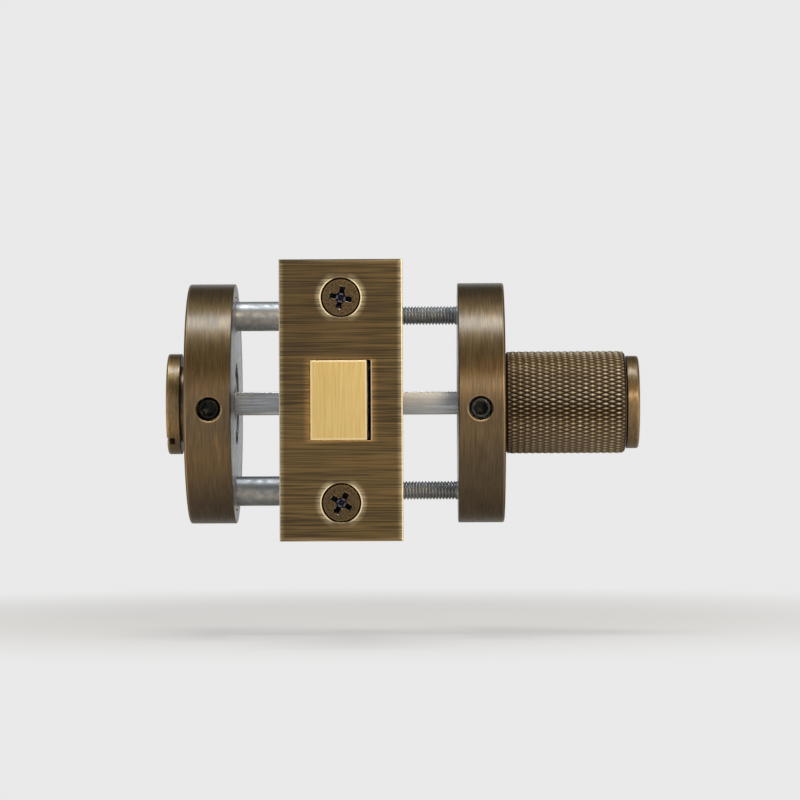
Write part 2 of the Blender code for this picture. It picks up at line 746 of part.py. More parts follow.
def make_wood_screw(end, name, turn):
    """Countersunk cross-head wood screw, its thread left plain."""
    neck = WOOD_SCREW_SINK + WOOD_SCREW_HEAD_RADIUS - WOOD_SCREW_RADIUS
    profile = [
        (WOOD_SCREW_SINK, 0.0),
        (WOOD_SCREW_SINK, WOOD_SCREW_HEAD_RADIUS),
        (neck, WOOD_SCREW_RADIUS),
        (WOOD_SCREW_LENGTH - WOOD_SCREW_POINT, WOOD_SCREW_RADIUS),
        (WOOD_SCREW_LENGTH, 0.0),
    ]
    placing = wood_screw_place(end)
    screw = piece(name, move(turned(profile, SMALL_SEGMENTS), *placing), antique_brass(name))
    long_half = CROSS_LENGTH / 2
    half = CROSS_WIDTH / 2
    cross = [
        (long_half, -half), (long_half, half), (half, half), (half, long_half),
        (-half, long_half), (-half, half), (-long_half, half), (-long_half, -half),
        (-half, -half), (-half, -long_half), (half, -long_half), (half, -half),
    ]
    recess = prism(cross, CROSS_DEPTH + GAP, WOOD_SCREW_SINK - GAP)
    cut(screw, move(recess, *placing, Matrix.Rotation(turn, 4, "X")))


def make_bolt_tube():
    """Thin tube that guides the bolt behind the forend."""
    profile = [
        (-TUBE_FRONT, TUBE_BORE), (-TUBE_FRONT, TUBE_RADIUS),
        (-CASE_FRONT, TUBE_RADIUS), (-CASE_FRONT, TUBE_BORE),
    ]
    tube = move(turned(profile, PLATE_SEGMENTS), Matrix.Rotation(math.pi / 2, 4, "Z"))
    piece("bolt_tube", tube, zinc_steel("bolt_tube"))


def rivet_places():
    """Name and (y, z) place of each rivet that joins the two halves of the case."""
    return {
        "case_rivet_rear_top": (RIVET_REAR_Y, TAIL_TOP - RIVET_RADIUS),
        "case_rivet_rear_bottom": (RIVET_REAR_Y, -RIVET_DROP),
        "case_rivet_front": (-RIVET_REAR_Y, -RIVET_DROP),
    }


def folded_blank(low, high):
    """Block with the edges rounded where sheet is folded: round its outer face and its back.

    The front stays open to the tube, and the other half meets the inner edge, so the edges
    of the front and of the inner face stay sharp.
    """
    bm = block(low, high)

    def lies_at(edge, axis, place):
        return all(abs(v.co[axis] - place) < GAP / 2 for v in edge.verts)

    folds = []
    for edge in bm.edges:
        round_outer = lies_at(edge, 0, high[0]) and not lies_at(edge, 1, low[1])
        round_back = lies_at(edge, 1, high[1]) and not lies_at(edge, 0, low[0])
        if round_outer or round_back:
            folds.append(edge)
    bmesh.ops.bevel(
        bm, geom=folds, offset=CASE_FOLD, segments=ROUNDING_STEPS, profile=0.5, affect="EDGES",
    )
    return tidy(bm)


def make_case_half(side, name):
    """Folded side of the case: wall, two flanges, a back, and a tongue into the tube."""
    front = GAP - CASE_FRONT
    outer_low = (side * GAP / 2, front, -CASE_TOP)
    outer_high = (side * CASE_OUTER, CASE_REAR, CASE_TOP)
    half = piece(name, folded_blank(outer_low, outer_high), zinc_steel(name))
    hollow_low = (-side * GAP, front - GAP, -CASE_CEILING)
    hollow_high = (side * CASE_INNER, CASE_REAR_INNER, CASE_CEILING)
    cutters = [block(hollow_low, hollow_high)]
    reach = side * (CASE_OUTER + GAP)
    cutters.append(rod(JOURNAL_RADIUS + GAP, 0.0, reach, STEM_SEGMENTS))
    for y, z in rivet_places().values():
        hole = rod(RIVET_RADIUS + GAP, 0.0, reach, RIVET_SEGMENTS)
        cutters.append(move(hole, Matrix.Translation((0.0, y, z))))
    cut(half, *cutters)
    inset = CASE_TONGUE_INSET
    tongue_half = math.sqrt(BOLT_REACH ** 2 - CASE_OUTER ** 2)
    tongue_low = (side * (CASE_INNER + inset), -CASE_FRONT - CASE_TONGUE, -tongue_half)
    tongue_high = (side * (CASE_OUTER - inset), front + CASE_WALL, tongue_half)
    fuse(half, block(tongue_low, tongue_high))


def make_rivet(name, place):
    """Steel rivet with a flat head on each side of the case."""
    inner = CASE_OUTER + GAP
    outer = inner + RIVET_HEAD_HEIGHT
    profile = [
        (-outer, 0.0), (-outer, RIVET_HEAD_RADIUS), (-inner, RIVET_HEAD_RADIUS),
        (-inner, RIVET_RADIUS), (inner, RIVET_RADIUS), (inner, RIVET_HEAD_RADIUS),
        (outer, RIVET_HEAD_RADIUS), (outer, 0.0),
    ]
    rivet = move(turned(profile, RIVET_SEGMENTS), Matrix.Translation((0.0, *place)))
    piece(name, rivet, zinc_steel(name))


def make_follower():
    """Hub with a square hole, two bearing journals and one finger that drives the tail.

    Two flats on the hub, a quarter turn apart, let the leaf spring hold both end positions.
    """
    flat = HUB_RADIUS - HUB_FLAT
    slack = math.acos(flat / HUB_RADIUS)
    quarter = math.pi / 2
    outline = arc((0.0, 0.0), HUB_RADIUS, -quarter + slack, quarter * 2 - slack, STEM_SEGMENTS)
    outline += arc((0.0, 0.0), HUB_RADIUS, 2 * quarter + slack, 3 * quarter - slack, 4)
    hub = prism(outline, 2 * HUB_HALF_LENGTH, -HUB_HALF_LENGTH)
    follower = piece("follower", hub, zinc_steel("follower"))
    journal_end = CASE_OUTER + JOURNAL_PROUD
    half_neck = FINGER_NECK / 2
    join = math.asin(half_neck / FINGER_TIP_RADIUS)
    tip = (CRANK_RADIUS, 0.0)
    finger_outline = arc(tip, FINGER_TIP_RADIUS, join - math.pi, math.pi - join, SMALL_SEGMENTS // 2)
    finger_outline += [(0.0, half_neck), (0.0, -half_neck)]
    finger = prism(finger_outline, FINGER_WIDTH, -FINGER_WIDTH / 2)
    turn_up = Matrix.Rotation(math.pi / 4, 4, "X")
    journal = rod(JOURNAL_RADIUS, -journal_end, journal_end, STEM_SEGMENTS)
    fuse(follower, journal)
    combine(follower, "UNION", [move(finger, turn_up)])
    cut(follower, square_bar(SPINDLE_SIZE + 2 * GAP, -journal_end - GAP, journal_end + GAP))


def make_deadbolt():
    """Rectangular bolt with eased edges, forked at the back for its tail."""
    low = (-BOLT_LEFT, -BACKSET, -BOLT_HEIGHT / 2)
    high = (BOLT_RIGHT, -BOLT_BACK, BOLT_HEIGHT / 2)
    bm = block(low, high)
    rear = -BOLT_BACK - GAP
    eased = [e for e in bm.edges if any(v.co.y < rear for v in e.verts)]
    bmesh.ops.bevel(bm, geom=eased, offset=BOLT_CHAMFER, segments=1, affect="EDGES")
    bolt = piece("deadbolt", tidy(bm), satin_brass("deadbolt"))
    side = TAIL_HALF_WIDTH + GAP
    fork = block((-side, -TONGUE_FRONT - GAP, -BOLT_HEIGHT), (side, GAP - BOLT_BACK, BOLT_HEIGHT))
    hole = rod(PIN_RADIUS + GAP, -2 * BOLT_LEFT, 2 * BOLT_LEFT)
    cut(bolt, fork, move(hole, Matrix.Translation((0.0, -PIN_PLACE, 0.0))))


def make_bolt_tail():
    """Steel tail that runs from the bolt over the hub, with a pocket for the finger."""
    leg_front = TAIL_LEG - BOLT_BACK
    leg_rear = leg_front + 2 * TAIL_LEG
    outline = [
        (-TONGUE_FRONT, -TONGUE_HALF_HEIGHT),
        (leg_front, -TONGUE_HALF_HEIGHT),
        (leg_rear, TAIL_BOTTOM),
        (TAIL_REAR, TAIL_BOTTOM),
        (TAIL_REAR, TAIL_TOP),
        (leg_front - TAIL_LEG, TAIL_TOP),
        (leg_front - 2 * TAIL_LEG, TONGUE_HALF_HEIGHT),
        (-TONGUE_FRONT, TONGUE_HALF_HEIGHT),
    ]
    blank = prism(outline, 2 * TAIL_HALF_WIDTH, -TAIL_HALF_WIDTH)
    tail = piece("bolt_tail", blank, zinc_steel("bolt_tail"))
    side = FINGER_WIDTH / 2 + GAP
    pocket = block(
        (-side, POCKET_MIDDLE - POCKET_HALF, TAIL_BOTTOM - GAP),
        (side, POCKET_MIDDLE + POCKET_HALF, TAIL_TOP + GAP),
    )
    hole = rod(PIN_RADIUS + GAP, -2 * TAIL_HALF_WIDTH, 2 * TAIL_HALF_WIDTH)
    cut(tail, pocket, move(hole, Matrix.Translation((0.0, -PIN_PLACE, 0.0))))


def make_bolt_pin():
    """Pin that holds the tail in the bolt's fork."""
    pin = rod(PIN_RADIUS, GAP - BOLT_LEFT, BOLT_RIGHT - GAP)
    placing = Matrix.Translation((0.0, -PIN_PLACE, 0.0))
    piece("bolt_pin", move(pin, placing), zinc_steel("bolt_pin"))


def spring_height(y):
    """Middle of the leaf spring: a crest under the hub, a smooth fall, then flat feet."""
    fall = min(max((abs(y) - SPRING_FLAT) / SPRING_RAMP, 0.0), 1.0)
    smooth = fall * fall * (3.0 - 2.0 * fall)
    return -(SPRING_CREST + (SPRING_SOLE - SPRING_CREST) * smooth)


def make_detent_spring():
    """Leaf spring that bears on the hub's flats."""
    steps = 2 * SMALL_SEGMENTS
    places = [SPRING_END * (2.0 * step / steps - 1.0) for step in range(steps + 1)]
    half = SPRING_THICKNESS / 2
    upper = [(y, spring_height(y) + half) for y in places]
    lower = [(y, spring_height(y) - half) for y in reversed(places)]
    leaf = prism(upper + lower, 2 * SPRING_HALF_WIDTH, -SPRING_HALF_WIDTH)
    piece("detent_spring", leaf, black_steel("detent_spring"))


def main():
    """Build every piece of the set in its place."""
    for thing in list(bpy.data.objects):
        bpy.data.objects.remove(thing, do_unlink=True)
    hole_radii = {"turn": SLEEVE_BORE, "release": SLEEVE_RADIUS + GAP}
    for side, face in ((1, "turn"), (-1, "release")):
        make_rose(side, f"{face}_rose")
        make_mounting_plate(side, f"{face}_mounting_plate", hole_radii[face])
        make_bush(side, f"{face}_bush")
        make_washer(side, f"{face}_washer")
        make_circlip(side, f"{face}_circlip")
        make_grub_screw(side, f"{face}_grub_screw")
    make_turn_knob()
    make_end_cap()
    make_release_button()
    make_spindle()
    for end, place, turn in ((1, "top", CROSS_TURN_TOP), (-1, "bottom", CROSS_TURN_BOTTOM)):
        make_through_bolt(end, f"through_bolt_{place}")
        make_sleeve_nut(end, f"sleeve_nut_{place}")
        make_wood_screw(end, f"faceplate_screw_{place}", turn)
    make_faceplate()
    make_forend()
    make_bolt_tube()
    make_case_half(-1, "case_left")
    make_case_half(1, "case_right")
    for name, place in rivet_places().items():
        make_rivet(name, place)
    make_follower()
    make_deadbolt()
    make_bolt_tail()
    make_bolt_pin()
    make_detent_spring()


main()
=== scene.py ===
# %% [markdown]
# Privacy thumb turn: a knurled turn, a coin release and the deadbolt between them.
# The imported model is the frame. It gives every part's place, and this script gives each
# part its surface and its finish. First the frame is loaded and its box is kept.

# %% Load the frame
import json
import math

import bpy
import numpy as np
from mathutils import Matrix, Vector


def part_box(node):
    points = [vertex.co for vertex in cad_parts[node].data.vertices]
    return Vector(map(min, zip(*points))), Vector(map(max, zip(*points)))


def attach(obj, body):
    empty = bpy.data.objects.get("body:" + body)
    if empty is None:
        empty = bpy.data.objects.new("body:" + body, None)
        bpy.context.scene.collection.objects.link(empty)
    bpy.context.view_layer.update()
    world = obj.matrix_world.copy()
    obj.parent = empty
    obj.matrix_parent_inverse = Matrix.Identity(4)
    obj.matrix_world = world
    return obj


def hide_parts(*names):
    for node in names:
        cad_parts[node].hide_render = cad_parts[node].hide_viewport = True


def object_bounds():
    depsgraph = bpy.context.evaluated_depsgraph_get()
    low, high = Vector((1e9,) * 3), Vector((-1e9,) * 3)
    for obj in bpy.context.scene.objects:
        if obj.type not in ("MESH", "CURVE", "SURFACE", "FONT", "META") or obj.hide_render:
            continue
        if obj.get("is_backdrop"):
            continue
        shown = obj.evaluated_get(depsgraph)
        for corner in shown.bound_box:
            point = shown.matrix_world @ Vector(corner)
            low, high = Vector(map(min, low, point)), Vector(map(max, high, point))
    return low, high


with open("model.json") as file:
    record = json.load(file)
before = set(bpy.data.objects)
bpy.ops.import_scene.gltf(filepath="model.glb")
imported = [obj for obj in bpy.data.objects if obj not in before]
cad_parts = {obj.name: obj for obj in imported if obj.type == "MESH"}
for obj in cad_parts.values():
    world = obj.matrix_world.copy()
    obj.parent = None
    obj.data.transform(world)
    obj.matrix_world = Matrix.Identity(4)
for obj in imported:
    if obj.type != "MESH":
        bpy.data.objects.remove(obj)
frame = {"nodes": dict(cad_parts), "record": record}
cad_low, cad_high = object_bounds()

# %% [markdown]
# Sizes come from two places. What the frame knows is read from the boxes of its nodes, and
# what it leaves to this script, such as a thread or the rounding of an edge, is named here.
# Everything is in metres, so a millimetre is a thousandth.

# %% Sizes
MM = 0.001
GAP = 0.3 * MM


def span(node):
    """Lowest and highest corner of a node at rest, as two arrays."""
    low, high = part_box(node)
    return np.array(low), np.array(high)


def middle_of(node):
    """Middle of a node's box at rest."""
    low, high = span(node)
    return (low + high) / 2


def radius_of(node):
    """Radius of a node that is turned round the spindle's axis."""
    low, high = span(node)
    return (high[2] - low[2]) / 2


rose_back = span("turn_rose")[0][0]
rose_face = span("turn_rose")[1][0]
rose_radius = radius_of("turn_rose")
print("rose:", round(rose_radius / MM, 2), "mm radius,", round((rose_face - rose_back) / MM, 2), "mm deep")

# %% [markdown]
# The camera comes first, because every render is judged through it. It stands a good arm's
# length away with a long lens, almost square to the faceplate. A Blender camera looks along
# its own -Z, so a quarter turn about X stands it up before the small turns are applied.

# %% Camera
CAMERA_PLACE = (17.70 * MM, -794.47 * MM, -9.00 * MM)
CAMERA_YAW = math.radians(0.4486)
CAMERA_PITCH = math.radians(0.6970)
CAMERA_ROLL = math.radians(0.2664)
CAMERA_LENS = 164.40
SENSOR_WIDTH = 36.0
NEAREST_SEEN = 10.0 * MM


def make_camera():
    """A long lens at the measured place; its turns are yaw, pitch and roll, in that order."""
    data = bpy.data.cameras.new("camera")
    data.lens = CAMERA_LENS
    data.sensor_width = SENSOR_WIDTH
    data.clip_start = NEAREST_SEEN
    camera = bpy.data.objects.new("camera", data)
    bpy.context.collection.objects.link(camera)
    turn = Matrix.Rotation(CAMERA_YAW, 4, "Z") @ Matrix.Rotation(CAMERA_PITCH, 4, "X")
    turn = turn @ Matrix.Rotation(CAMERA_ROLL, 4, "Y") @ Matrix.Rotation(math.pi / 2, 4, "X")
    camera.matrix_world = Matrix.Translation(CAMERA_PLACE) @ turn
    bpy.context.scene.camera = camera
    return camera


camera = make_camera()
print("camera:", round(camera.data.lens, 1), "mm lens")

# %% [markdown]
# New surfaces are grids of points. One parameter runs along a profile and the other runs
# round or across, so a whole piece is one array. This cell turns such an array into a mesh:
# four neighbours in the grid make a face, and a ring at an open end closes onto one point.

# %% From a grid of points to a mesh
SHARP_EDGE = 35.0


def grid_quads(rows, columns, wrap_rows):
    """Corner numbers of every cell of a grid whose columns close into a ring."""
    row = np.arange(rows if wrap_rows else rows - 1)[:, None]
    column = np.arange(columns)[None, :]
    next_row = (row + 1) % rows
    next_column = (column + 1) % columns
    corners = (
        row * columns + column, row * columns + next_column,
        next_row * columns + next_column, next_row * columns + column,
    )
    return np.stack([np.broadcast_to(c, (len(row), columns)) for c in corners], axis=-1).reshape(-1, 4)


def volume_of(points, faces):
    """Signed volume: the sum, over triangles, of a triple product divided by six."""
    total = 0.0
    for k in range(1, faces.shape[1] - 1):
        a, b, c = points[faces[:, 0]], points[faces[:, k]], points[faces[:, k + 1]]
        total += np.einsum("ij,ij->i", a, np.cross(b, c)).sum() / 6
    return total


def link_mesh(name, points, face_groups, sharp=SHARP_EDGE):
    """One object from points and groups of equal-sided faces, smooth but for sharp edges."""
    mesh = bpy.data.meshes.new(name)
    sizes = np.concatenate([np.full(len(g), g.shape[1]) for g in face_groups])
    corners = np.concatenate([g.ravel() for g in face_groups])
    mesh.vertices.add(len(points))
    mesh.loops.add(len(corners))
    mesh.polygons.add(len(sizes))
    mesh.vertices.foreach_set("co", points.astype(np.float32).ravel())
    mesh.loops.foreach_set("vertex_index", corners.astype(np.int32))
    starts = np.concatenate([[0], np.cumsum(sizes)[:-1]])
    mesh.polygons.foreach_set("loop_start", starts.astype(np.int32))
    mesh.update(calc_edges=True)
    mesh.validate()
    mesh.shade_smooth()
    mesh.set_sharp_from_angle(angle=math.radians(sharp))
    thing = bpy.data.objects.new(name, mesh)
    bpy.context.collection.objects.link(thing)
    return thing


def skin(name, rings, closed=False, sharp=SHARP_EDGE):
    """A closed surface through rings of points, shaped (rings, points, 3).

    A closed skin joins its last ring to its first. Any other one ends in two points, each
    the middle of its end ring, and a fan of triangles.
    """
    rows, columns = rings.shape[:2]
    points = rings.reshape(-1, 3)
    quads = grid_quads(rows, columns, closed)
    if closed:
        groups = [quads]
    else:
        middles = np.stack([rings[0].mean(axis=0), rings[-1].mean(axis=0)])
        points = np.concatenate([points, middles])
        near = np.arange(columns)
        far = near + (rows - 1) * columns
        first = np.stack([np.roll(near, -1), near, np.full(columns, rows * columns)], axis=-1)
        last = np.stack([far, np.roll(far, -1), np.full(columns, rows * columns + 1)], axis=-1)
        groups = [quads, first, last]
    if sum(volume_of(points, g) for g in groups) < 0.0:
        groups = [g[:, ::-1] for g in groups]
    return link_mesh(name, points, groups, sharp)


# %% [markdown]
# Almost every part of the set came off a lathe. A lathe's cut is a short list of corners,
# and a real corner is never quite sharp: a small curve there catches the light as a fine
# bright line. So corners are rounded first, and then the profile is carried round the axis.

# %% Turned pieces
TURNED_COLUMNS = 192
SIDE_SHARE = 0.45
GUARD_STEP = 1.3
GUARD_SHARE = 0.49


def eased(corners, radius, steps=4, closed=False):
    """Round each corner of a profile with a small parabola, tangent to both of its sides.

    The parabola starts and ends at the same distance from the corner, which is the radius
    or, on a short side, a share of that side. A guard point a little farther off on each side
    ends the curve's smooth shading there, so that a flat face stays flat.
    """
    corners = np.array(corners, dtype=float)
    before = np.roll(corners, 1, axis=0) - corners
    after = np.roll(corners, -1, axis=0) - corners
    before_length = np.linalg.norm(before, axis=1)[:, None]
    after_length = np.linalg.norm(after, axis=1)[:, None]
    shortest = np.minimum(before_length, after_length)
    radius = np.broadcast_to(radius, len(corners))[:, None]
    reach = np.minimum(radius, SIDE_SHARE * shortest)
    guard = np.minimum(GUARD_STEP * reach, GUARD_SHARE * shortest)
    before, after = before / before_length, after / after_length
    start, end = corners + before * reach, corners + after * reach
    t = np.linspace(0.0, 1.0, steps + 1)[None, :, None]
    curve = (1 - t) ** 2 * start[:, None] + 2 * t * (1 - t) * corners[:, None] + t**2 * end[:, None]
    lead, trail = (corners + before * guard)[:, None], (corners + after * guard)[:, None]
    curve = np.concatenate([lead, curve, trail], axis=1)
    return curve.reshape(-1, 2) if closed else curve[1:-1].reshape(-1, 2)


def carried_round(profile, columns=TURNED_COLUMNS):
    """Rings of points: each (x, radius) of a profile, at equal angles round the X axis."""
    profile = np.array(profile, dtype=float)
    angle = np.arange(columns) * math.tau / columns
    x = np.broadcast_to(profile[:, :1], (len(profile), columns))
    return np.stack([x, profile[:, 1:] * np.cos(angle), profile[:, 1:] * np.sin(angle)], axis=-1)


def turned(name, corners, easing=0.15 * MM, side=1, closed=False, columns=TURNED_COLUMNS):
    """A lathe part. Its corners are (x, radius); a closed one is a ring with a bore.

    The first and last corners of a solid one lie on the axis and only close its ends.
    """
    rings = carried_round(eased(corners, easing, closed=closed), columns)
    return skin(name, rings * np.array([side, 1.0, 1.0]), closed=closed)


def plain_turning(name, profile, columns=64):
    """A lathe part with sharp corners, to cut with; both of its ends are closed flat."""
    return skin(name, carried_round(profile, columns))


# %% [markdown]
# Holes and slots are cut with a Boolean, as they are milled on the real part. The modifier
# is applied at once and the cutter is thrown away, so the piece that is left is plain mesh.
# A shape made on the X axis is carried to its place first, by a matrix on its points. A
# cutter stands proud of the face that it cuts, so that no skin is left over the hole.

# %% Cutting and placing
PROUD = 1.0 * MM
CORNER_SHARE = 0.98


def placed(thing, *matrices):
    """Carry a piece's own points through several matrices, the last one first."""
    whole = Matrix.Identity(4)
    for matrix in matrices:
        whole = whole @ matrix
    thing.data.transform(whole)
    thing.data.update()
    return thing


def carve(thing, *cutters, operation="DIFFERENCE", sharp=SHARP_EDGE):
    """Cut a piece with others, one exact Boolean each, and keep only the result."""
    for cutter in cutters:
        modifier = thing.modifiers.new("cut", "BOOLEAN")
        modifier.operation = operation
        modifier.solver = "EXACT"
        modifier.object = cutter
    graph = bpy.context.evaluated_depsgraph_get()
    result = bpy.data.meshes.new_from_object(thing.evaluated_get(graph))
    old = thing.data
    thing.modifiers.clear()
    thing.data = result
    bpy.data.meshes.remove(old)
    for cutter in cutters:
        data = cutter.data
        bpy.data.objects.remove(cutter, do_unlink=True)
        bpy.data.meshes.remove(data)
    result.shade_smooth()
    result.set_sharp_from_angle(angle=math.radians(sharp))
    result.name = thing.name
    return thing


def along(axis):
    """Matrix that points a shape's own +X along +X, +Y or +Z."""
    turns = {"X": Matrix.Identity(4), "Y": Matrix.Rotation(math.pi / 2, 4, "Z")}
    turns["Z"] = Matrix.Rotation(-math.pi / 2, 4, "Y")
    return turns[axis]


def rounded_ring(half_a, half_b, corner, steps=5):
    """Outline (a, b) of a rectangle whose corners are quarter circles of one radius."""
    corner = min(corner, CORNER_SHARE * half_a, CORNER_SHARE * half_b)
    quarter = np.linspace(0.0, math.pi / 2, steps + 1)
    outline = []
    for turn, (sign_a, sign_b) in enumerate(((1, 1), (-1, 1), (-1, -1), (1, -1))):
        angle = quarter + turn * math.pi / 2
        a = sign_a * (half_a - corner) + corner * np.cos(angle)
        b = sign_b * (half_b - corner) + corner * np.sin(angle)
        outline.append(np.column_stack([a, b]))
    return np.concatenate(outline)


def bar(name, stations, corner):
    """A bar on the X axis with rounded edges, through stations of (x, half_y, half_z)."""
    rings = []
    for x, half_y, half_z in stations:
        outline = rounded_ring(half_y, half_z, corner)
        rings.append(np.column_stack([np.full(len(outline), x), outline]))
    return skin(name, np.stack(rings))


def eased_bar(name, start, end, half_y, half_z, corner, easing, start_easing=None):
    """A bar whose ends are eased over to its sides by the same small parabola as a turning."""
    inset = min(half_y, half_z)
    reach = [0.0, easing if start_easing is None else start_easing, easing, 0.0]
    profile = eased([(start, -inset), (start, 0.0), (end, 0.0), (end, -inset)], reach)
    return bar(name, [(x, half_y + across, half_z + across) for x, across in profile], corner)


print("tools ready: skin, turned, carve, bar")

# %% [markdown]
# Every finish starts from where a point lies on its piece. Object coordinates give that in
# metres, because each piece's object sits at the origin. Long sums of nodes are hard to
# read, so a field below stands for one value at every point, and writing a sum or a product
# of fields makes the Math nodes for it. A noise texture seldom leaves the span from 0.3 to
# 0.7, so a ramp over that span uses all of it.

# %% Fields: values worked out in a material
NOISE_SPAN = (0.3, 0.7)
WHITE = (1.0, 1.0, 1.0)
LACQUER_ROUGHNESS = 0.27
EDGE_TINT = 0.35


class Field:
    """One value at every point of a surface: the output of a node."""

    def __init__(self, tree, socket):
        """Keep the material's node tree and the socket that carries the value."""
        self.tree = tree
        self.socket = socket

    def math(self, operation, *others):
        """Field from a Math node with this one as its first value."""
        node = self.tree.nodes.new("ShaderNodeMath")
        node.operation = operation
        for socket, value in zip(node.inputs, (self, *others)):
            plug(self.tree, socket, value)
        return Field(self.tree, node.outputs[0])

    def __add__(self, other):
        """Sum."""
        return self.math("ADD", other)

    def __sub__(self, other):
        """Difference."""
        return self.math("SUBTRACT", other)

    def __mul__(self, other):
        """Product."""
        return self.math("MULTIPLY", other)

    def size(self):
        """Value without its sign."""
        return self.math("ABSOLUTE")

    def most(self, other):
        """The larger of two values."""
        return self.math("MAXIMUM", other)

    def hypot(self, other):
        """Length of the vector (self, other): the root of the sum of both squares."""
        return (self * self + other * other).math("SQRT")

    def ramp(self, low, high, from_value=0.0, to_value=1.0):
        """Smooth step: from_value below low, to_value above high, an S curve between."""
        node = self.tree.nodes.new("ShaderNodeMapRange")
        node.interpolation_type = "SMOOTHSTEP"
        for socket, value in zip(node.inputs, (self, low, high, from_value, to_value)):
            plug(self.tree, socket, value)
        return Field(self.tree, node.outputs[0])


def plug(tree, socket, value):
    """Set a socket to a number or a colour, or link it to a field."""
    if isinstance(value, Field):
        tree.links.new(value.socket, socket)
    else:
        socket.default_value = value


def position(tree):
    """Fields x, y and z: the place of a point on its piece, in metres."""
    where = tree.nodes.new("ShaderNodeTexCoord")
    split = tree.nodes.new("ShaderNodeSeparateXYZ")
    tree.links.new(where.outputs["Object"], split.inputs[0])
    return [Field(tree, socket) for socket in split.outputs]


def noise(x, y, z, detail=2.0, roughness=0.5):
    """Smooth random field, about 0 to 1, of three coordinates already scaled to its grain."""
    joined = x.tree.nodes.new("ShaderNodeCombineXYZ")
    for socket, value in zip(joined.inputs, (x, y, z)):
        plug(x.tree, socket, value)
    node = x.tree.nodes.new("ShaderNodeTexNoise")
    node.inputs["Scale"].default_value = 1.0
    node.inputs["Detail"].default_value = detail
    node.inputs["Roughness"].default_value = roughness
    x.tree.links.new(joined.outputs[0], node.inputs["Vector"])
    return Field(x.tree, node.outputs["Fac"])


def strokes(lengthwise, across, per_metre, runs):
    """Straight brush strokes: every narrow row has its own run of light and dark.

    The row is a whole number, and two odd multiples of it take each row far from the next
    one in the noise.
    """
    row = (across * per_metre).math("FLOOR")
    return noise(lengthwise * runs, row * 5.37, row * 0.71, detail=1.0)


def mixed(amount, first, second):
    """Colour between two colours: the first where amount is 0, the second where it is 1."""
    node = amount.tree.nodes.new("ShaderNodeMix")
    node.data_type = "RGBA"
    plug(amount.tree, node.inputs[0], amount)
    for socket, value in ((node.inputs[6], first), (node.inputs[7], second)):
        plug(amount.tree, socket, value if isinstance(value, Field) else (*value, 1.0))
    return Field(amount.tree, node.outputs[2])


def finish(name, lacquer=0.0, metallic=1.0):
    """An empty material: its tree, its shader and its position fields.

    Lacquered brass darkens towards its outline, where bare metal would turn white.
    """
    material = bpy.data.materials.new(name)
    material.use_nodes = True
    tree = material.node_tree
    shader = tree.nodes["Principled BSDF"]
    shader.inputs["Metallic"].default_value = metallic
    if lacquer > 0.0:
        shader.inputs["Coat Weight"].default_value = lacquer
        shader.inputs["Coat Roughness"].default_value = LACQUER_ROUGHNESS
        shader.inputs["Specular Tint"].default_value = (EDGE_TINT, EDGE_TINT, EDGE_TINT, 1.0)
    return material, tree, shader, position(tree)


def relief(tree, shader, height, distance):
    """Bump from a field between 0 and 1; distance is the real depth of the relief."""
    node = tree.nodes.new("ShaderNodeBump")
    node.inputs["Distance"].default_value = distance
    tree.links.new(height.socket, node.inputs["Height"])
    for surface in ("Normal", "Coat Normal"):
        tree.links.new(node.outputs["Normal"], shader.inputs[surface])


print("fields ready")

# %% [markdown]
# Antique brass is brass that was darkened with a salt, brushed back and then lacquered.
# The brush strokes let a little bright metal through, so colour, gloss and relief all
# follow the same streaks. On turned parts the strokes run round the axis: the noise is
# fine along x and the radius and coarse round the circle, where it reads y and z divided
# by the radius. The lacquer is a thin coat, which greys the highlights.

# %% Antique brass, turned
DARK_BRASS = (0.066, 0.042, 0.016)
WARM_BRASS = (0.165, 0.104, 0.042)
BARE_BRASS = (0.62, 0.43, 0.20)
LACQUER = 0.7
STREAKS_PER_METRE = 3700.0
STREAK_TURNS = 5.0
STREAK_DEPTH = 0.004 * MM
GRUB_RADIUS = 2.25 * MM
GRUB_HEIGHT = 4.7 * MM
GRUB_DROP = math.radians(3.1)
HOLE_HIGHLIGHT_RING = 0.4 * MM
EDGE_WEAR_AND_HIGHLIGHT = 0.2 * MM


def turned_streaks(x, y, z):
    """Noise stretched round the X axis: fine over x and radius, slow over the angle."""
    radius = y.hypot(z)
    level = (x + radius) * STREAKS_PER_METRE
    cosine = y.math("DIVIDE", radius) * STREAK_TURNS
    sine = z.math("DIVIDE", radius) * STREAK_TURNS
    return noise(level, cosine, sine, detail=3.0, roughness=0.65)


def patina(x, y, z, grain=90.0):
    """Slow clouds, about a centimetre wide, where the dark layer is thinner or thicker."""
    return noise(x * grain, y * grain, z * grain, detail=2.0)


def turned_brass(name, wear, pale=1.0):
    """Antique brass brushed round the X axis; wear is a function of x, y and z.

    Pale multiplies both of its colours: a paler, lit copy of the brass, which paints the
    brighter light that a part shows.
    """
    material, tree, shader, (x, y, z) = finish(name, LACQUER)
    streak = turned_streaks(x, y, z)
    cloud = patina(x, y, z)
    lightness = streak.ramp(0.34, 0.72) * 0.66 + cloud.ramp(*NOISE_SPAN) * 0.34
    # painted light: pale above 1 makes a paler, lit copy of the same brass
    dark, warm = (tuple(channel * pale for channel in brass) for brass in (DARK_BRASS, WARM_BRASS))
    colour = mixed(wear(x, y, z) * (streak * 0.5 + 0.6), mixed(lightness, dark, warm), BARE_BRASS)
    plug(tree, shader.inputs["Base Color"], colour)
    plug(tree, shader.inputs["Roughness"], streak.ramp(0.25, 0.75, 0.56, 0.44))
    relief(tree, shader, streak, STREAK_DEPTH)
    return material


def from_grub(x, z):
    """Distance from the axis of the nearest grub screw, and its two parts: outwards and up."""
    outwards = x.size() - (rose_back + GRUB_HEIGHT)
    above = z + math.sin(GRUB_DROP) * rose_radius
    return outwards.hypot(above), outwards, above


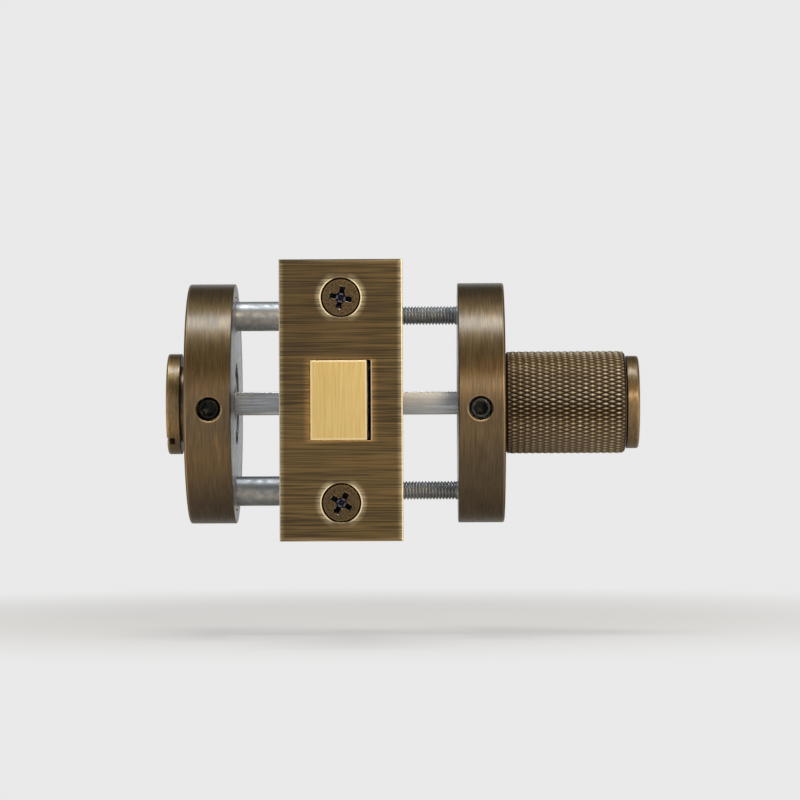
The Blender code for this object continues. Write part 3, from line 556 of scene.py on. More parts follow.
def rose_wear_and_highlight(x, y, z):
    """Bright metal on a rose: along its front edge, and round its grub hole.

    Both are distances: to the front edge, and to the hole's rim. The edge's pale line is wear
    that also paints the edge's highlight. The ring is a painted highlight on the hole's
    chamfer, painted brighter on its lower half, which faces the overhead light. Only the side
    with the hole has a ring.
    """
    radius = y.hypot(z)
    front = x.size() - (rose_face - 0.38 * MM)
    rim = radius - (rose_radius - 0.45 * MM)
    # pale front edge: wear, which also paints the highlight where the edge catches the light
    edge = front.size().ramp(0.03 * MM, EDGE_WEAR_AND_HIGHLIGHT, 1.0, 0.0) * rim.ramp(0.0, 0.3 * MM)
    distance, outwards, above = from_grub(x, z)
    # painted highlight on the chamfer of the grub hole
    ring = (distance - (GRUB_RADIUS + GAP)).ramp(0.12 * MM, HOLE_HIGHLIGHT_RING, 1.0, 0.0)
    # painted highlight: the ring is brighter on its lower half, which faces the overhead light
    lower = (above + outwards * 0.6).ramp(-2.2 * MM, -0.4 * MM, 1.0, 0.1)
    return edge * 0.5 + ring * lower * y.ramp(-0.5 * rose_radius, 0.0, 1.0, 0.0)


rose_brass = turned_brass("rose_brass", rose_wear_and_highlight)
print("antique brass:", len(rose_brass.node_tree.nodes), "nodes")

# %% [markdown]
# A piece is finished in one line: it gets its material, rides on the body of the node that
# it stands for, and replaces that node.

# %% Dressing a piece
body_of = {n: body for body, nodes in frame["record"]["behaviour"]["bodies"].items() for n in nodes}


def dress(thing, material, node):
    """Give a new piece its finish, its body and the node that it stands for."""
    thing.data.materials.clear()
    thing.data.materials.append(material)
    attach(thing, body_of[node])
    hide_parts(node)
    return thing


# %% [markdown]
# A rose is a deep cup, turned from bar. It hides the mounting plate and stands flat on the
# door. Its front edge is rounded more than the others. One hole in the rim lets a grub screw
# through, and its mouth is chamfered, because a drill leaves a sharp burr there.

# %% Roses
ROSE_RIM_WALL = 2.7 * MM
ROSE_FRONT_WALL = 3.0 * MM
BUSH_SEAT = 7.9 * MM
ROSE_COLUMNS = 256
HOLE_CHAMFER = 0.15 * MM
SIDES = {"turn": 1, "release": -1}
cavity_radius = rose_radius - ROSE_RIM_WALL
rose_floor = rose_face - ROSE_FRONT_WALL


def to_rim(side):
    """Places that point a shape's +X outwards along a rose's grub screw."""
    return (
        Matrix.Translation((side * (rose_back + GRUB_HEIGHT), 0.0, 0.0)),
        Matrix.Rotation(GRUB_DROP, 4, "X"),
        Matrix.Rotation(-math.pi / 2, 4, "Z"),
    )


def make_rose(side, face):
    """A cup with a bore, turned in one piece, and the hole of its grub screw."""
    corners = [
        (rose_back, cavity_radius), (rose_back, rose_radius), (rose_face, rose_radius),
        (rose_face, BUSH_SEAT), (rose_floor, BUSH_SEAT), (rose_floor, cavity_radius),
    ]
    easing = np.array([0.1, 0.3, 0.5, 0.15, 0.1, 0.4]) * MM
    rose = turned(f"{face}_rose_cover", corners, easing, side, closed=True, columns=ROSE_COLUMNS)
    hole = GRUB_RADIUS + GAP
    lip = rose_radius - HOLE_CHAMFER
    drill = [
        (cavity_radius - PROUD, hole), (lip, hole),
        (rose_radius + PROUD, hole + HOLE_CHAMFER + PROUD),
    ]
    carve(rose, placed(plain_turning("drill", drill, 96), *to_rim(side)))
    return dress(rose, rose_brass, f"{face}_rose")


for face, side in SIDES.items():
    rose = make_rose(side, face)
    print(rose.name, len(rose.data.polygons), "faces")

# %% [markdown]
# The thumb turn is knurled: two rolls press crossing helical grooves into the barrel, and
# rows of small pyramids stay between them. A Boolean for each groove would be slow, and a
# bump map would leave the outline smooth. Here the radius itself is a function of the angle
# and the place along the barrel. Counting half pitches as p round the barrel and q along it,
# one family of grooves has (p + q) / 2 constant and the other (p - q) / 2.

# %% Knurl
KNURL_STARTS = 70
KNURL_PITCH = 2.8 * MM
KNURL_DEPTH = 0.34 * MM
KNOB_CHAMFER = 0.28 * MM
CONE_RISE = 2.0
SUBSTEPS = 4
PYRAMID_PLACES = [0.0, 0.25, 0.5, 0.75, 1.0]
PYRAMID_HEIGHTS = [0.0, 0.22, 0.54, 0.85, 0.97]
knob_back = rose_face + GAP
knob_front = span("turn_knob")[1][0]
knob_radius = radius_of("turn_knob")


def nearness(a):
    """1 where a is a whole number, 0 half way between two, straight lines between."""
    return 1.0 - 2.0 * np.abs(a - np.round(a))


def knurl_height(p, q):
    """Height of the pyramids, 0 to 1: the smaller nearness of the two groove counts.

    The height then passes through a short curve, which rounds the worn points and the
    bottoms of the grooves.
    """
    height = np.minimum(nearness((p + q) / 2), nearness((p - q) / 2))
    return np.interp(height, PYRAMID_PLACES, PYRAMID_HEIGHTS)


def knurled_rings():
    """Grid of the barrel's skin, cut back at both ends by a cone that rises two for one."""
    start, end = knob_back + KNOB_CHAMFER, knob_front - KNOB_CHAMFER
    rows = SUBSTEPS * round(2 * (end - start) / KNURL_PITCH)
    columns = SUBSTEPS * 2 * KNURL_STARTS
    q = np.arange(rows + 1)[:, None] / SUBSTEPS
    p = np.arange(columns)[None, :] / SUBSTEPS
    radius = knob_radius - KNURL_DEPTH * (1.0 - knurl_height(p, q))
    x = start + (end - start) * q * SUBSTEPS / rows
    cone = knob_radius - KNURL_DEPTH + np.minimum(x - start, end - x) * CONE_RISE
    radius = np.minimum(radius, cone)
    angle = p / (2 * KNURL_STARTS) * math.tau
    x = np.broadcast_to(x, radius.shape)
    return np.stack([x, radius * np.cos(angle), radius * np.sin(angle)], axis=-1)


barrel_rings = knurled_rings()
print("knurl:", barrel_rings.shape[0], "rows by", barrel_rings.shape[1], "columns")

# %% [markdown]
# A square or six-sided socket can be part of the same grid. A ring on a regular outline has
# its points at the same angles as a round ring, so the skin passes from one to the other.
# A guard ring close to a corner ends the smooth shading there, so a flat floor stays flat.

# %% Keyed rings
GUARD_RING = 0.01 * MM


def keyed_rings(profile, sides, columns):
    """Rings on a regular outline, from pairs (x, half the width across its flats).

    At angle t the radius is the half width over the cosine of t's distance from the middle
    of the nearest flat.
    """
    angle = np.arange(columns) * math.tau / columns
    step = math.tau / sides
    off_flat = np.mod(angle, step) - step / 2
    rings = [
        np.column_stack([
            np.full(columns, x), half / np.cos(off_flat) * np.cos(angle),
            half / np.cos(off_flat) * np.sin(angle),
        ])
        for x, half in profile
    ]
    return np.stack(rings)


STEM_RADIUS = 6.0 * MM
STEM_LAND = 0.5 * MM
GROOVE_RADIUS = 5.2 * MM
GROOVE_WIDTH = 1.5 * MM
SOCKET_DEPTH = 11.0 * MM
SPINDLE_SIZE = span("spindle")[1][2] * 2
SOCKET_LEAD = 0.3 * MM
stem_end = rose_back + GAP
groove_start = stem_end + STEM_LAND
groove_end = groove_start + GROOVE_WIDTH


def socket_rings(columns):
    """Square socket of a stem, from its floor to its mouth, which is eased."""
    half = SPINDLE_SIZE / 2 + GAP
    mouth = stem_end + SOCKET_LEAD
    profile = [
        (stem_end + SOCKET_DEPTH, half), (stem_end + SOCKET_DEPTH - GUARD_RING, half),
        (mouth + GUARD_RING, half), (mouth, half), (stem_end, half + SOCKET_LEAD),
    ]
    return keyed_rings(profile, 4, columns)


def stem_corners():
    """Corners of a stem, from its end to the face of the rose."""
    return [
        (stem_end, STEM_RADIUS), (groove_start, STEM_RADIUS), (groove_start, GROOVE_RADIUS),
        (groove_end, GROOVE_RADIUS), (groove_end, STEM_RADIUS), (knob_back, STEM_RADIUS),
    ]


print("stem:", round((knob_back - stem_end) / MM, 2), "mm long")

# %% [markdown]
# The thumb turn is then one skin: up out of the square socket, along the stem, over the
# knurled barrel, and down into the bore that takes the end cap. All its rings need the same
# count of points, so the stem has as many as the knurl. Each cell of the knurl is folded
# along the groove that crosses it, because a fold across the groove would fill it.

# %% Thumb turn
BORE_RADIUS = 7.8 * MM
BORE_DEPTH = 6.0 * MM
STEM_EASING = 0.1 * MM
KNURL_SHARP_EDGE = 50.0


def folded_along_grooves(first_row, rings):
    """Triangles of the knurl: each square is split along the diagonal its groove takes."""
    rows, columns = rings.shape[:2]
    row, column = np.arange(rows - 1)[:, None], np.arange(columns)[None, :]
    next_column = (column + 1) % columns
    here, right = row * columns + column, row * columns + next_column
    ahead, across = here + columns, right + columns
    points_up = (row // SUBSTEPS + column // SUBSTEPS) % 2 == 0
    up = np.array([[here, right, ahead], [right, across, ahead]])
    down = np.array([[here, right, across], [here, across, ahead]])
    triangles = np.moveaxis(np.where(points_up, up, down), 1, -1)
    return triangles.reshape(-1, 3) + first_row * columns


def ring_quads(first_row, rows, columns):
    """Squares between successive rings, counted from a first ring."""
    return grid_quads(rows, columns, False) + first_row * columns


def make_thumb_turn():
    """All rings in one stack, with a fan of triangles on the socket's and the bore's floor."""
    columns = barrel_rings.shape[1]
    wide = knob_radius - KNURL_DEPTH
    root = wide - KNOB_CHAMFER
    bore_floor = knob_front - BORE_DEPTH
    stem = eased([
        (stem_end, 0.0), *stem_corners(), (knob_back, root), (knob_back + KNOB_CHAMFER, wide),
    ], STEM_EASING, steps=2)
    bore = eased([
        (knob_front - KNOB_CHAMFER, wide), (knob_front, root), (knob_front, BORE_RADIUS),
        (bore_floor, BORE_RADIUS), (bore_floor, 0.0),
    ], STEM_EASING, steps=2)
    near = np.concatenate([socket_rings(columns), carried_round(stem, columns)])
    far = carried_round(bore, columns)
    rings = np.concatenate([near, barrel_rings, far])
    knurl_start = len(near)
    knurl_rows = len(barrel_rings)
    ends = np.stack([rings[0].mean(axis=0), rings[-1].mean(axis=0)])
    points = np.concatenate([rings.reshape(-1, 3), ends])
    last = len(rings) * columns
    ring = np.arange(columns)
    floor = np.stack([np.roll(ring, -1), ring, np.full(columns, last)], axis=-1)
    cap = ring + last - columns
    top = np.stack([cap, np.roll(cap, -1), np.full(columns, last + 1)], axis=-1)
    quads = [
        ring_quads(0, knurl_start + 1, columns),
        ring_quads(knurl_start + knurl_rows - 1, len(far) + 1, columns),
    ]
    groups = [*quads, folded_along_grooves(knurl_start, barrel_rings), floor, top]
    if sum(volume_of(points, g) for g in groups) < 0.0:
        groups = [g[:, ::-1] for g in groups]
    return link_mesh("knurled_turn", points, groups, KNURL_SHARP_EDGE)


thumb_turn = make_thumb_turn()
print("thumb turn:", len(thumb_turn.data.polygons), "faces")

# %% [markdown]
# On the knurl the dark layer stays in the grooves and is rubbed off the points, so its
# colour follows the distance from the axis. That distance is also what a groove is, so no
# image or second pattern is needed. The points differ a little in how far they are worn.
# Their pale colour is also painted brighter towards the front end, as painted light from the
# warm card, and duller on top, as painted shade.

# %% Knurled brass
KNURL_BODY = (0.170, 0.118, 0.060)
KNURL_BRIGHT = (0.68, 0.545, 0.34)
GROOVE_PATINA_AND_SHADE = (0.028, 0.016, 0.006)


def knurled_brass(name):
    """Colour and gloss follow the height in the knurl, but not on the plain end cones.

    A point's pale colour is its height times three things: small and slow noise, which
    are wear, and a painted light share, which is brighter towards the front and duller on top.
    """
    material, tree, shader, (x, y, z) = finish(name, 0.6)
    height = y.hypot(z).ramp(knob_radius - KNURL_DEPTH, knob_radius - 0.02 * MM)
    middle = (knob_back + knob_front) / 2
    half = middle - knob_back
    knurled = (x - middle).size().ramp(half - KNOB_CHAMFER, half, 1.0, 0.0)
    cloud = patina(x, y, z, 160.0)
    specks = noise(x * 900.0, y * 900.0, z * 900.0, detail=1.0)
    body = mixed(height.ramp(0.0, 0.26, 1.0, 0.0) * knurled, KNURL_BODY, GROOVE_PATINA_AND_SHADE)
    # painted light and shade: the points are paler towards the front and duller on top
    painted_light_share = x.ramp(knob_back, knob_front, 0.6, 1.1)
    painted_light_share = painted_light_share * z.ramp(0.6 * knob_radius, knob_radius, 1.0, 0.3)
    uneven = specks.ramp(0.25, 0.7, 0.4, 1.0) * cloud.ramp(0.25, 0.7, 0.6, 1.0)
    worn = height.ramp(0.6, 0.95) * uneven * painted_light_share
    plug(tree, shader.inputs["Base Color"], mixed(worn, body, KNURL_BRIGHT))
    plug(tree, shader.inputs["Roughness"], height.ramp(0.0, 1.0, 0.60, 0.52))
    return material


dress(thumb_turn, knurled_brass("knurled_brass"), "turn_knob")
print("thumb turn dressed")

# %% [markdown]
# The end cap is a plain disc on a spigot. Left plain, it sets off the knurl, and the dark
# gap round it is where the barrel's chamfer meets it.

# %% End cap
SPIGOT_RADIUS = 7.5 * MM
# painted light: the end cap's brass is a paler copy, standing in for the brighter light on it
CAP_PAINTED_LIGHT = 1.6
DISC_WEAR = 0.5
cap_start, cap_end = span("turn_end_cap")[0][0], span("turn_end_cap")[1][0]
cap_radius = radius_of("turn_end_cap")
cap_back = knob_front + GAP


def disc_wear(radius, face):
    """Wear along the rounded front edge of a disc, as a function of x, y and z."""
    def wear(x, y, z):
        """Product of two steps, one near the disc's face and one near its rim."""
        front = (x.size() - (face - 0.5 * MM)).ramp(-0.3 * MM, 0.25 * MM)
        rim = (y.hypot(z) - (radius - 0.45 * MM)).ramp(-0.3 * MM, 0.25 * MM)
        return front * rim * DISC_WEAR
    return wear


def make_end_cap():
    """A disc on a spigot; its front edge is rounded the most."""
    corners = [
        (cap_start, 0.0), (cap_start, SPIGOT_RADIUS), (cap_back, SPIGOT_RADIUS),
        (cap_back, cap_radius), (cap_end, cap_radius), (cap_end, 0.0),
    ]
    easing = np.array([0, 0.3, 0.1, 0.12, 0.55, 0]) * MM
    cap = turned("end_cap", corners, easing)
    wear = disc_wear(cap_radius, cap_end)
    return dress(cap, turned_brass("cap_brass", wear, CAP_PAINTED_LIGHT), "turn_end_cap")


print(make_end_cap().name)

# %% [markdown]
# From the other side of the door a coin opens the lock in need. Its button is a flat disc on
# a short neck, with one slot right across its face. The slot is a Boolean with an eased bar,
# so its two long edges are clean, and it stops at the same depth all the way.

# %% Coin release
NECK_RADIUS = 8.2 * MM
NECK_LENGTH = 1.5 * MM
COIN_SLOT_WIDTH = 1.95 * MM
COIN_SLOT_DEPTH = 1.75 * MM
COIN_SLOT_ANGLE = math.radians(48.2)
COIN_SLOT_CORNER = 0.15 * MM
# painted light: the button's brass is a paler copy, standing in for the brighter light on it
BUTTON_PAINTED_LIGHT = 1.8
button_end = -span("release_button")[0][0]
button_radius = radius_of("release_button")
button_back = knob_back + NECK_LENGTH


def make_release_button():
    """Socket, stem, neck and disc as one skin, mirrored to the other side, then slotted."""
    outside = eased([
        (stem_end, 0.0), *stem_corners(), (knob_back, NECK_RADIUS), (button_back, NECK_RADIUS),
        (button_back, button_radius), (button_end, button_radius), (button_end, 0.0),
    ], np.array([0, *[0.12] * 6, 0.15, 0.1, 0.2, 0.45, 0]) * MM)
    rings = np.concatenate([socket_rings(TURNED_COLUMNS), carried_round(outside)])
    button = skin("coin_release", rings * np.array([-1.0, 1.0, 1.0]))
    floor = button_end - COIN_SLOT_DEPTH
    half = COIN_SLOT_WIDTH / 2
    slot = bar("slot", [
        (-button_end - PROUD, rose_radius, half), (-floor, rose_radius, half),
    ], COIN_SLOT_CORNER)
    carve(button, placed(slot, Matrix.Rotation(COIN_SLOT_ANGLE, 4, "X")))
    wear = disc_wear(button_radius, button_end)
    return dress(button, turned_brass("release_brass", wear, BUTTON_PAINTED_LIGHT), "release_button")


print(make_release_button().name)

# %% [markdown]
# The grub screws that hold the roses are blackened and have a six-sided socket. A keyed ring
# makes the socket, and its mouth opens to a small cone, as a forged socket does. The socket
# is painted blacker than the face, as painted shade. The face is painted lighter on the
# turn's side and darker on the release's, which faces away from the warm light.

# %% Grub screws
GRUB_LENGTH = 4.0 * MM
GRUB_SINK = 0.7 * MM
GRUB_KEY = 2.5 * MM
GRUB_KEY_DEPTH = 1.8 * MM
GRUB_POINT = 1.0 * MM
GRUB_THREAD = 0.7 * MM
GRUB_THREAD_DEPTH = 0.35 * MM
GRUB_LEAD = 0.2 * MM
FASTENER_COLUMNS = 96
HEX_CORNER = 1 / math.cos(math.pi / 6)
BLACK_STEEL = (0.009, 0.009, 0.007)
GRUB_FACE = (0.045, 0.047, 0.045)


def thread_wave(x, columns, pitch):
    """Depth of a V thread at each ring x and each angle, 0 at the crest and 1 at the root.

    A triangle wave of x over the pitch, less the angle over a whole turn, climbs one pitch
    in one turn. Its crest is cut flat.
    """
    turn = np.arange(columns)[None, :] / columns
    phase = np.mod(x[:, None] / pitch - turn, 1.0)
    return np.clip(1.25 * (1.0 - np.abs(2.0 * phase - 1.0)) - 0.25, 0.0, 1.0)


def threaded_rings(start, end, radius, depth, pitch, columns, per_turn=8, taper=0.0):
    """Rings of a threaded stretch, which fades in and out over half a turn at its ends.

    The radius is that of a cylinder or, with a taper, of a cone, less the depth times the
    thread's wave.
    """
    count = max(2, round(abs(end - start) / pitch * per_turn))
    x = np.linspace(start, end, count + 1)
    ends = np.minimum(np.abs(x - start), np.abs(x - end)) / (0.5 * pitch)
    fade = np.clip(ends, 0.0, 1.0)[:, None]
    outer = radius * (1.0 - taper * np.clip((x - start) / (end - start), 0.0, 1.0))[:, None]
    r = outer - np.minimum(depth, 0.5 * outer) * thread_wave(x, columns, pitch) * fade
    angle = np.arange(columns) * math.tau / columns
    x = np.broadcast_to(x[:, None], r.shape)
    return np.stack([x, r * np.cos(angle), r * np.sin(angle)], axis=-1)


def black_finish(name, colour=BLACK_STEEL, roughness=0.42):
    """Oil blackened steel: nearly black, a little mottled, with a soft sheen."""
    material, tree, shader, (x, y, z) = finish(name, metallic=0.85)
    mottle = noise(x * 1500.0, y * 1500.0, z * 1500.0, detail=2.0)
    light = tuple(channel * 2.2 for channel in colour)
    plug(tree, shader.inputs["Base Color"], mixed(mottle.ramp(0.35, 0.7), colour, light))
    plug(tree, shader.inputs["Roughness"], mottle.ramp(*NOISE_SPAN, roughness + 0.08, roughness - 0.08))
    relief(tree, shader, mottle, 0.01 * MM)
    return material


def grub_black(name):
    """Blackened steel, blackest down in the socket and all over the release's screw."""
    material, tree, shader, (x, y, z) = finish(name, metallic=0.9)
    distance = from_grub(x, z)[0]
    mottle = noise(x * 1100.0, y * 1100.0, z * 1100.0, detail=2.0, roughness=0.6)
    # painted shade: the socket is blacker than the screw's face
    face = distance.ramp(0.48 * GRUB_KEY, 0.62 * GRUB_KEY) * mottle.ramp(0.3, 0.65, 0.35, 1.0)
    # painted light and shade: the turn's screw face is lighter, the release's, facing away from the warm
    # light, darker
    face = face * x.ramp(-rose_back, rose_back, 0.1, 1.5)
    plug(tree, shader.inputs["Base Color"], mixed(face, BLACK_STEEL, GRUB_FACE))
    plug(tree, shader.inputs["Roughness"], mottle.ramp(*NOISE_SPAN, 0.36, 0.24))
    relief(tree, shader, mottle, 0.03 * MM)
    return material


def make_grub_screw(side, face, material):
    """Socket, face, threaded flank and point as one skin, set into a rose's rim."""
    head = rose_radius - GRUB_SINK
    tip = head - GRUB_LENGTH
    columns, half, lead = FASTENER_COLUMNS, GRUB_KEY / 2, GRUB_LEAD
    key = keyed_rings([
        (head - GRUB_KEY_DEPTH, half * 0.3), (head - GRUB_KEY_DEPTH + 0.35 * MM, half),
        (head - lead - 0.02 * MM, half), (head - lead, half),
    ], 6, columns)
    face_rings = carried_round([
        (head, half * HEX_CORNER + lead * 0.6), (head, GRUB_RADIUS - 0.3 * MM),
        (head - 0.02 * MM, GRUB_RADIUS - 0.25 * MM), (head - 0.25 * MM, GRUB_RADIUS - 0.02 * MM),
    ], columns)
    flank = threaded_rings(
        head - 0.3 * MM, tip + GRUB_POINT, GRUB_RADIUS, GRUB_THREAD_DEPTH, GRUB_THREAD, columns,
    )
    flat = GRUB_RADIUS - GRUB_POINT
    point = carried_round([(tip + 0.05 * MM, flat), (tip, flat - 0.1 * MM)], columns)
    screw = skin(f"{face}_set_screw", np.concatenate([key, face_rings, flank, point]))
    placed(screw, *to_rim(side))
    return dress(screw, material, f"{face}_grub_screw")


black_screw = black_finish("black_screw")
grub_screw_black = grub_black("grub_black")
for face, side in SIDES.items():
    print(make_grub_screw(side, face, grub_screw_black).name)

# %% [markdown]
# Zinc plated steel is a pale, slightly bluish grey. Plating leaves a fine mottle, and
# what was turned, sawn or punched shows it faintly through the zinc. It is the finish of
# everything that the door hides.

# %% Zinc and nylon
ZINC = (0.44, 0.45, 0.46)
ZINC_SHADE = (0.30, 0.31, 0.32)
NYLON = (0.72, 0.71, 0.66)
NYLON_SHADE = (0.60, 0.58, 0.52)


def zinc_finish(name, grain=(700.0, 700.0, 700.0), roughness=0.48, depth=0.006 * MM):
    """Mottled zinc; the grain is the fineness of the pattern along x, y and z."""
    material, tree, shader, (x, y, z) = finish(name)
    mottle = noise(x * grain[0], y * grain[1], z * grain[2], detail=3.0, roughness=0.6)
    cloud = patina(x, y, z, 150.0)
    lightness = mottle.ramp(*NOISE_SPAN) * 0.6 + cloud.ramp(*NOISE_SPAN) * 0.4
    plug(tree, shader.inputs["Base Color"], mixed(lightness, ZINC_SHADE, ZINC))
    plug(tree, shader.inputs["Roughness"], mottle.ramp(*NOISE_SPAN, roughness + 0.1, roughness - 0.06))
    relief(tree, shader, mottle, depth)
    return material


def nylon_finish(name):
    """Natural nylon: off-white, a little uneven, with light passing just under its skin."""
    material, tree, shader, (x, y, z) = finish(name, metallic=0.0)
    mottle = noise(x * 400.0, y * 400.0, z * 400.0, detail=2.0)
    plug(tree, shader.inputs["Base Color"], mixed(mottle.ramp(*NOISE_SPAN), NYLON_SHADE, NYLON))
    plug(tree, shader.inputs["Roughness"], mottle.ramp(*NOISE_SPAN, 0.5, 0.4))
    shader.inputs["Subsurface Weight"].default_value = 0.15
    shader.inputs["Subsurface Radius"].default_value = (1.0 * MM, 0.8 * MM, 0.6 * MM)
    shader.inputs["Subsurface Scale"].default_value = 1.0
    return material


zinc = zinc_finish("zinc_plated")
cast_zinc = zinc_finish("cast_zinc", (1100.0, 1100.0, 1100.0), 0.45, 0.02 * MM)
nylon = nylon_finish("natural_nylon")
print("zinc and nylon ready")

# %% [markdown]
# Inside each rose a cast plate is bolted to the door. Its boss carries the bush, and two
# lugs reach up to the rose's rim: one has the seat that the grub screw bites into. The
# lugs are swept as a section round a short arc and joined to the turned plate.

# %% Mounting plates
PLATE_BASE = 2.5 * MM
BOSS_RADIUS = 10.2 * MM
CLIP_RECESS_RADIUS = 8.9 * MM
BUSH_START = span("turn_bush")[0][0]
BUSH_FLANGE = 0.8 * MM
LUG_WALL = 3.2 * MM
LUG_INSET = 0.2 * MM
LUG_ANGLE = math.radians(48.0)
LUG_STEPS = 24
plate_radius = radius_of("turn_mounting_plate")
plate_front = rose_back + PLATE_BASE
lug_end = rose_floor - GAP
BOSS_END = lug_end - BUSH_FLANGE - GAP
FIXING_EDGE = 4.0 * MM
FIXING_PLACE = plate_radius - FIXING_EDGE
PLATE_HOLES = {"turn": 2.3 * MM, "release": 3.5 * MM}
PLATE_COLUMNS = 160


def swept_section(name, section, start, end, steps):
    """Carry a closed outline of (x, radius) points round part of a circle, ends closed."""
    section = np.array(section)
    angle = np.linspace(start, end, steps + 1)[:, None]
    x = np.broadcast_to(section[:, 0], (steps + 1, len(section)))
    radius = section[:, 1]
    return skin(name, np.stack([x, radius * np.cos(angle), radius * np.sin(angle)], axis=-1))


def make_lug(side, facing):
    """A wall that stands up from the plate, over an arc that faces one way."""
    outer = plate_radius - LUG_INSET
    inner = outer - LUG_WALL
    root = rose_back + PLATE_BASE / 2
    corners = [(root, inner), (root, outer), (lug_end, outer), (lug_end, inner)]
    section = eased(corners, np.array([0.05, 0.05, 0.5, 0.5]) * MM, closed=True)
    section = section * np.array([side, 1.0])
    return swept_section("lug", section, facing - LUG_ANGLE / 2, facing + LUG_ANGLE / 2, LUG_STEPS)


def make_mounting_plate(side, face):
    """The turned plate with its boss, two lugs joined to it, and three holes."""
    corners = [
        (rose_back, CLIP_RECESS_RADIUS), (BUSH_START, CLIP_RECESS_RADIUS), (BUSH_START, BUSH_SEAT),
        (BOSS_END, BUSH_SEAT), (BOSS_END, BOSS_RADIUS), (plate_front, BOSS_RADIUS),
        (plate_front, plate_radius), (rose_back, plate_radius),
    ]
    easing = np.array([0.2, 0.1, 0.1, 0.15, 0.3, 0.6, 0.35, 0.2]) * MM
    plate = turned(f"{face}_fixing_plate", corners, easing, side, closed=True, columns=PLATE_COLUMNS)
    lugs = [make_lug(side, facing) for facing in (math.pi + GRUB_DROP, GRUB_DROP)]
    carve(plate, *lugs, operation="UNION")
    seat = rose_radius - GRUB_SINK - GRUB_LENGTH - GAP
    hole = GRUB_RADIUS + GAP
    drills = [placed(plain_turning("drill", [(seat, hole), (rose_radius, hole)]), *to_rim(side))]
    radius, low, high = PLATE_HOLES[face], side * (rose_back - GAP), side * (plate_front + GAP)
    for end in (1, -1):
        drill = plain_turning("drill", [(low, radius), (high, radius)])
        drills.append(placed(drill, Matrix.Translation((0.0, 0.0, end * FIXING_PLACE))))
    carve(plate, *drills)
    return dress(plate, cast_zinc, f"{face}_mounting_plate")


for face, side in SIDES.items():
    plate = make_mounting_plate(side, face)
    print(plate.name, len(plate.data.polygons), "faces")

# %% [markdown]
# Each stem turns in a flanged nylon bush. A washer and an open spring ring in the stem's
# groove stop it from being pulled out. The ring is a section swept round almost a circle,
# and it has a small hole near each end for the pliers that open it.

# %% Bushes, washers and rings
BUSH_WALL = 1.3 * MM
BUSH_FLANGE_WIDTH = 1.9 * MM
CLIP_WIDTH = 2.5 * MM
CLIP_MOUTH = math.radians(70.0)
PLIER_HOLE = 0.55 * MM
PLIER_HOLE_INSET = 1.1 * MM
STAMPED_EASING = 0.12 * MM
RING_COLUMNS = 128
RING_STEPS = 96


def make_bush(side, face):
    """A sleeve with a flange, which lies between the boss and the rose."""
    bore = STEM_RADIUS + GAP
    outer = bore + BUSH_WALL
    flange = outer + BUSH_FLANGE_WIDTH
    flange_start = lug_end - BUSH_FLANGE
    corners = [
        (BUSH_START, bore), (BUSH_START, outer), (flange_start, outer), (flange_start, flange),
        (lug_end, flange), (lug_end, outer), (rose_face, outer), (rose_face, bore),
    ]
    bush = turned(f"{face}_bearing_bush", corners, 0.2 * MM, side, closed=True, columns=RING_COLUMNS)
    return dress(bush, nylon, f"{face}_bush")


def make_washer(side, face):
    """A flat ring; the release's is the turn's, mirrored."""
    low, high = span("turn_washer")
    inner, outer = STEM_RADIUS + GAP, radius_of("turn_washer")
    corners = [(low[0], inner), (low[0], outer), (high[0], outer), (high[0], inner)]
    washer = turned(f"{face}_steel_washer", corners, STAMPED_EASING, side, closed=True, columns=RING_COLUMNS)
    return dress(washer, zinc, f"{face}_washer")


def make_circlip(side, face):
    """A flat section swept round a circle that is left open by an angle."""
    low, high = span("turn_circlip")
    inner = GROOVE_RADIUS + GAP
    outer = inner + CLIP_WIDTH
    corners = [(low[0], inner), (low[0], outer), (high[0], outer), (high[0], inner)]
    section = eased(corners, STAMPED_EASING, closed=True) * np.array([side, 1.0])
    start = -math.pi / 2 + CLIP_MOUTH / 2
    end = start + math.tau - CLIP_MOUTH
    ring = swept_section(f"{face}_spring_ring", section, start, end, RING_STEPS)
    middle = (inner + outer) / 2
    inset = PLIER_HOLE_INSET / middle
    drills = []
    below, above = side * (low[0] - GAP), side * (high[0] + GAP)
    for angle in (start + inset, end - inset):
        drill = plain_turning("drill", [(below, PLIER_HOLE), (above, PLIER_HOLE)], 32)
        place = (0.0, middle * math.cos(angle), middle * math.sin(angle))
        drills.append(placed(drill, Matrix.Translation(place)))
    carve(ring, *drills)
    return dress(ring, black_screw, f"{face}_circlip")


for face, side in SIDES.items():
    print(make_bush(side, face).name, make_washer(side, face).name, make_circlip(side, face).name)

# %% [markdown]
# One square spindle joins the turn, the bolt case and the release. Two machine screws run
# through the door beside it. They screw into long nuts that come from the other side, so the
# door's thickness may vary a little.

# %% Spindle, through bolts and sleeve nuts
SCREW_RADIUS = 2.0 * MM
SCREW_HEAD_RADIUS = 3.6 * MM
SCREW_HEAD_HEIGHT = 2.2 * MM
SCREW_KEY = 3.0 * MM
SCREW_PITCH = 0.7 * MM
SCREW_THREAD_DEPTH = 0.4 * MM
PLAIN_SHANK = 3.0 * MM
SLEEVE_RADIUS = 3.2 * MM
SLEEVE_BORE = 2.3 * MM
SLEEVE_REACH = 4.0 * MM
SLEEVE_FLOOR = 2.0 * MM
SLEEVE_HEAD_RADIUS = 4.05 * MM
SLEEVE_SLOT_WIDTH = 1.2 * MM
SLEEVE_SLOT_DEPTH = 1.0 * MM
END_PLACES = {"top": 1, "bottom": -1}
screw_seat = plate_front + GAP
screw_top = screw_seat + SCREW_HEAD_HEIGHT


def make_spindle():
    """A drawn square bar, eased at both ends."""
    end = span("spindle")[1][0]
    half = SPINDLE_SIZE / 2
    spindle = eased_bar("square_spindle", -end, end, half, half, 0.3 * MM, 0.4 * MM)
    return dress(spindle, zinc_finish("drawn_steel", (90.0, 2600.0, 2600.0), 0.3), "spindle")


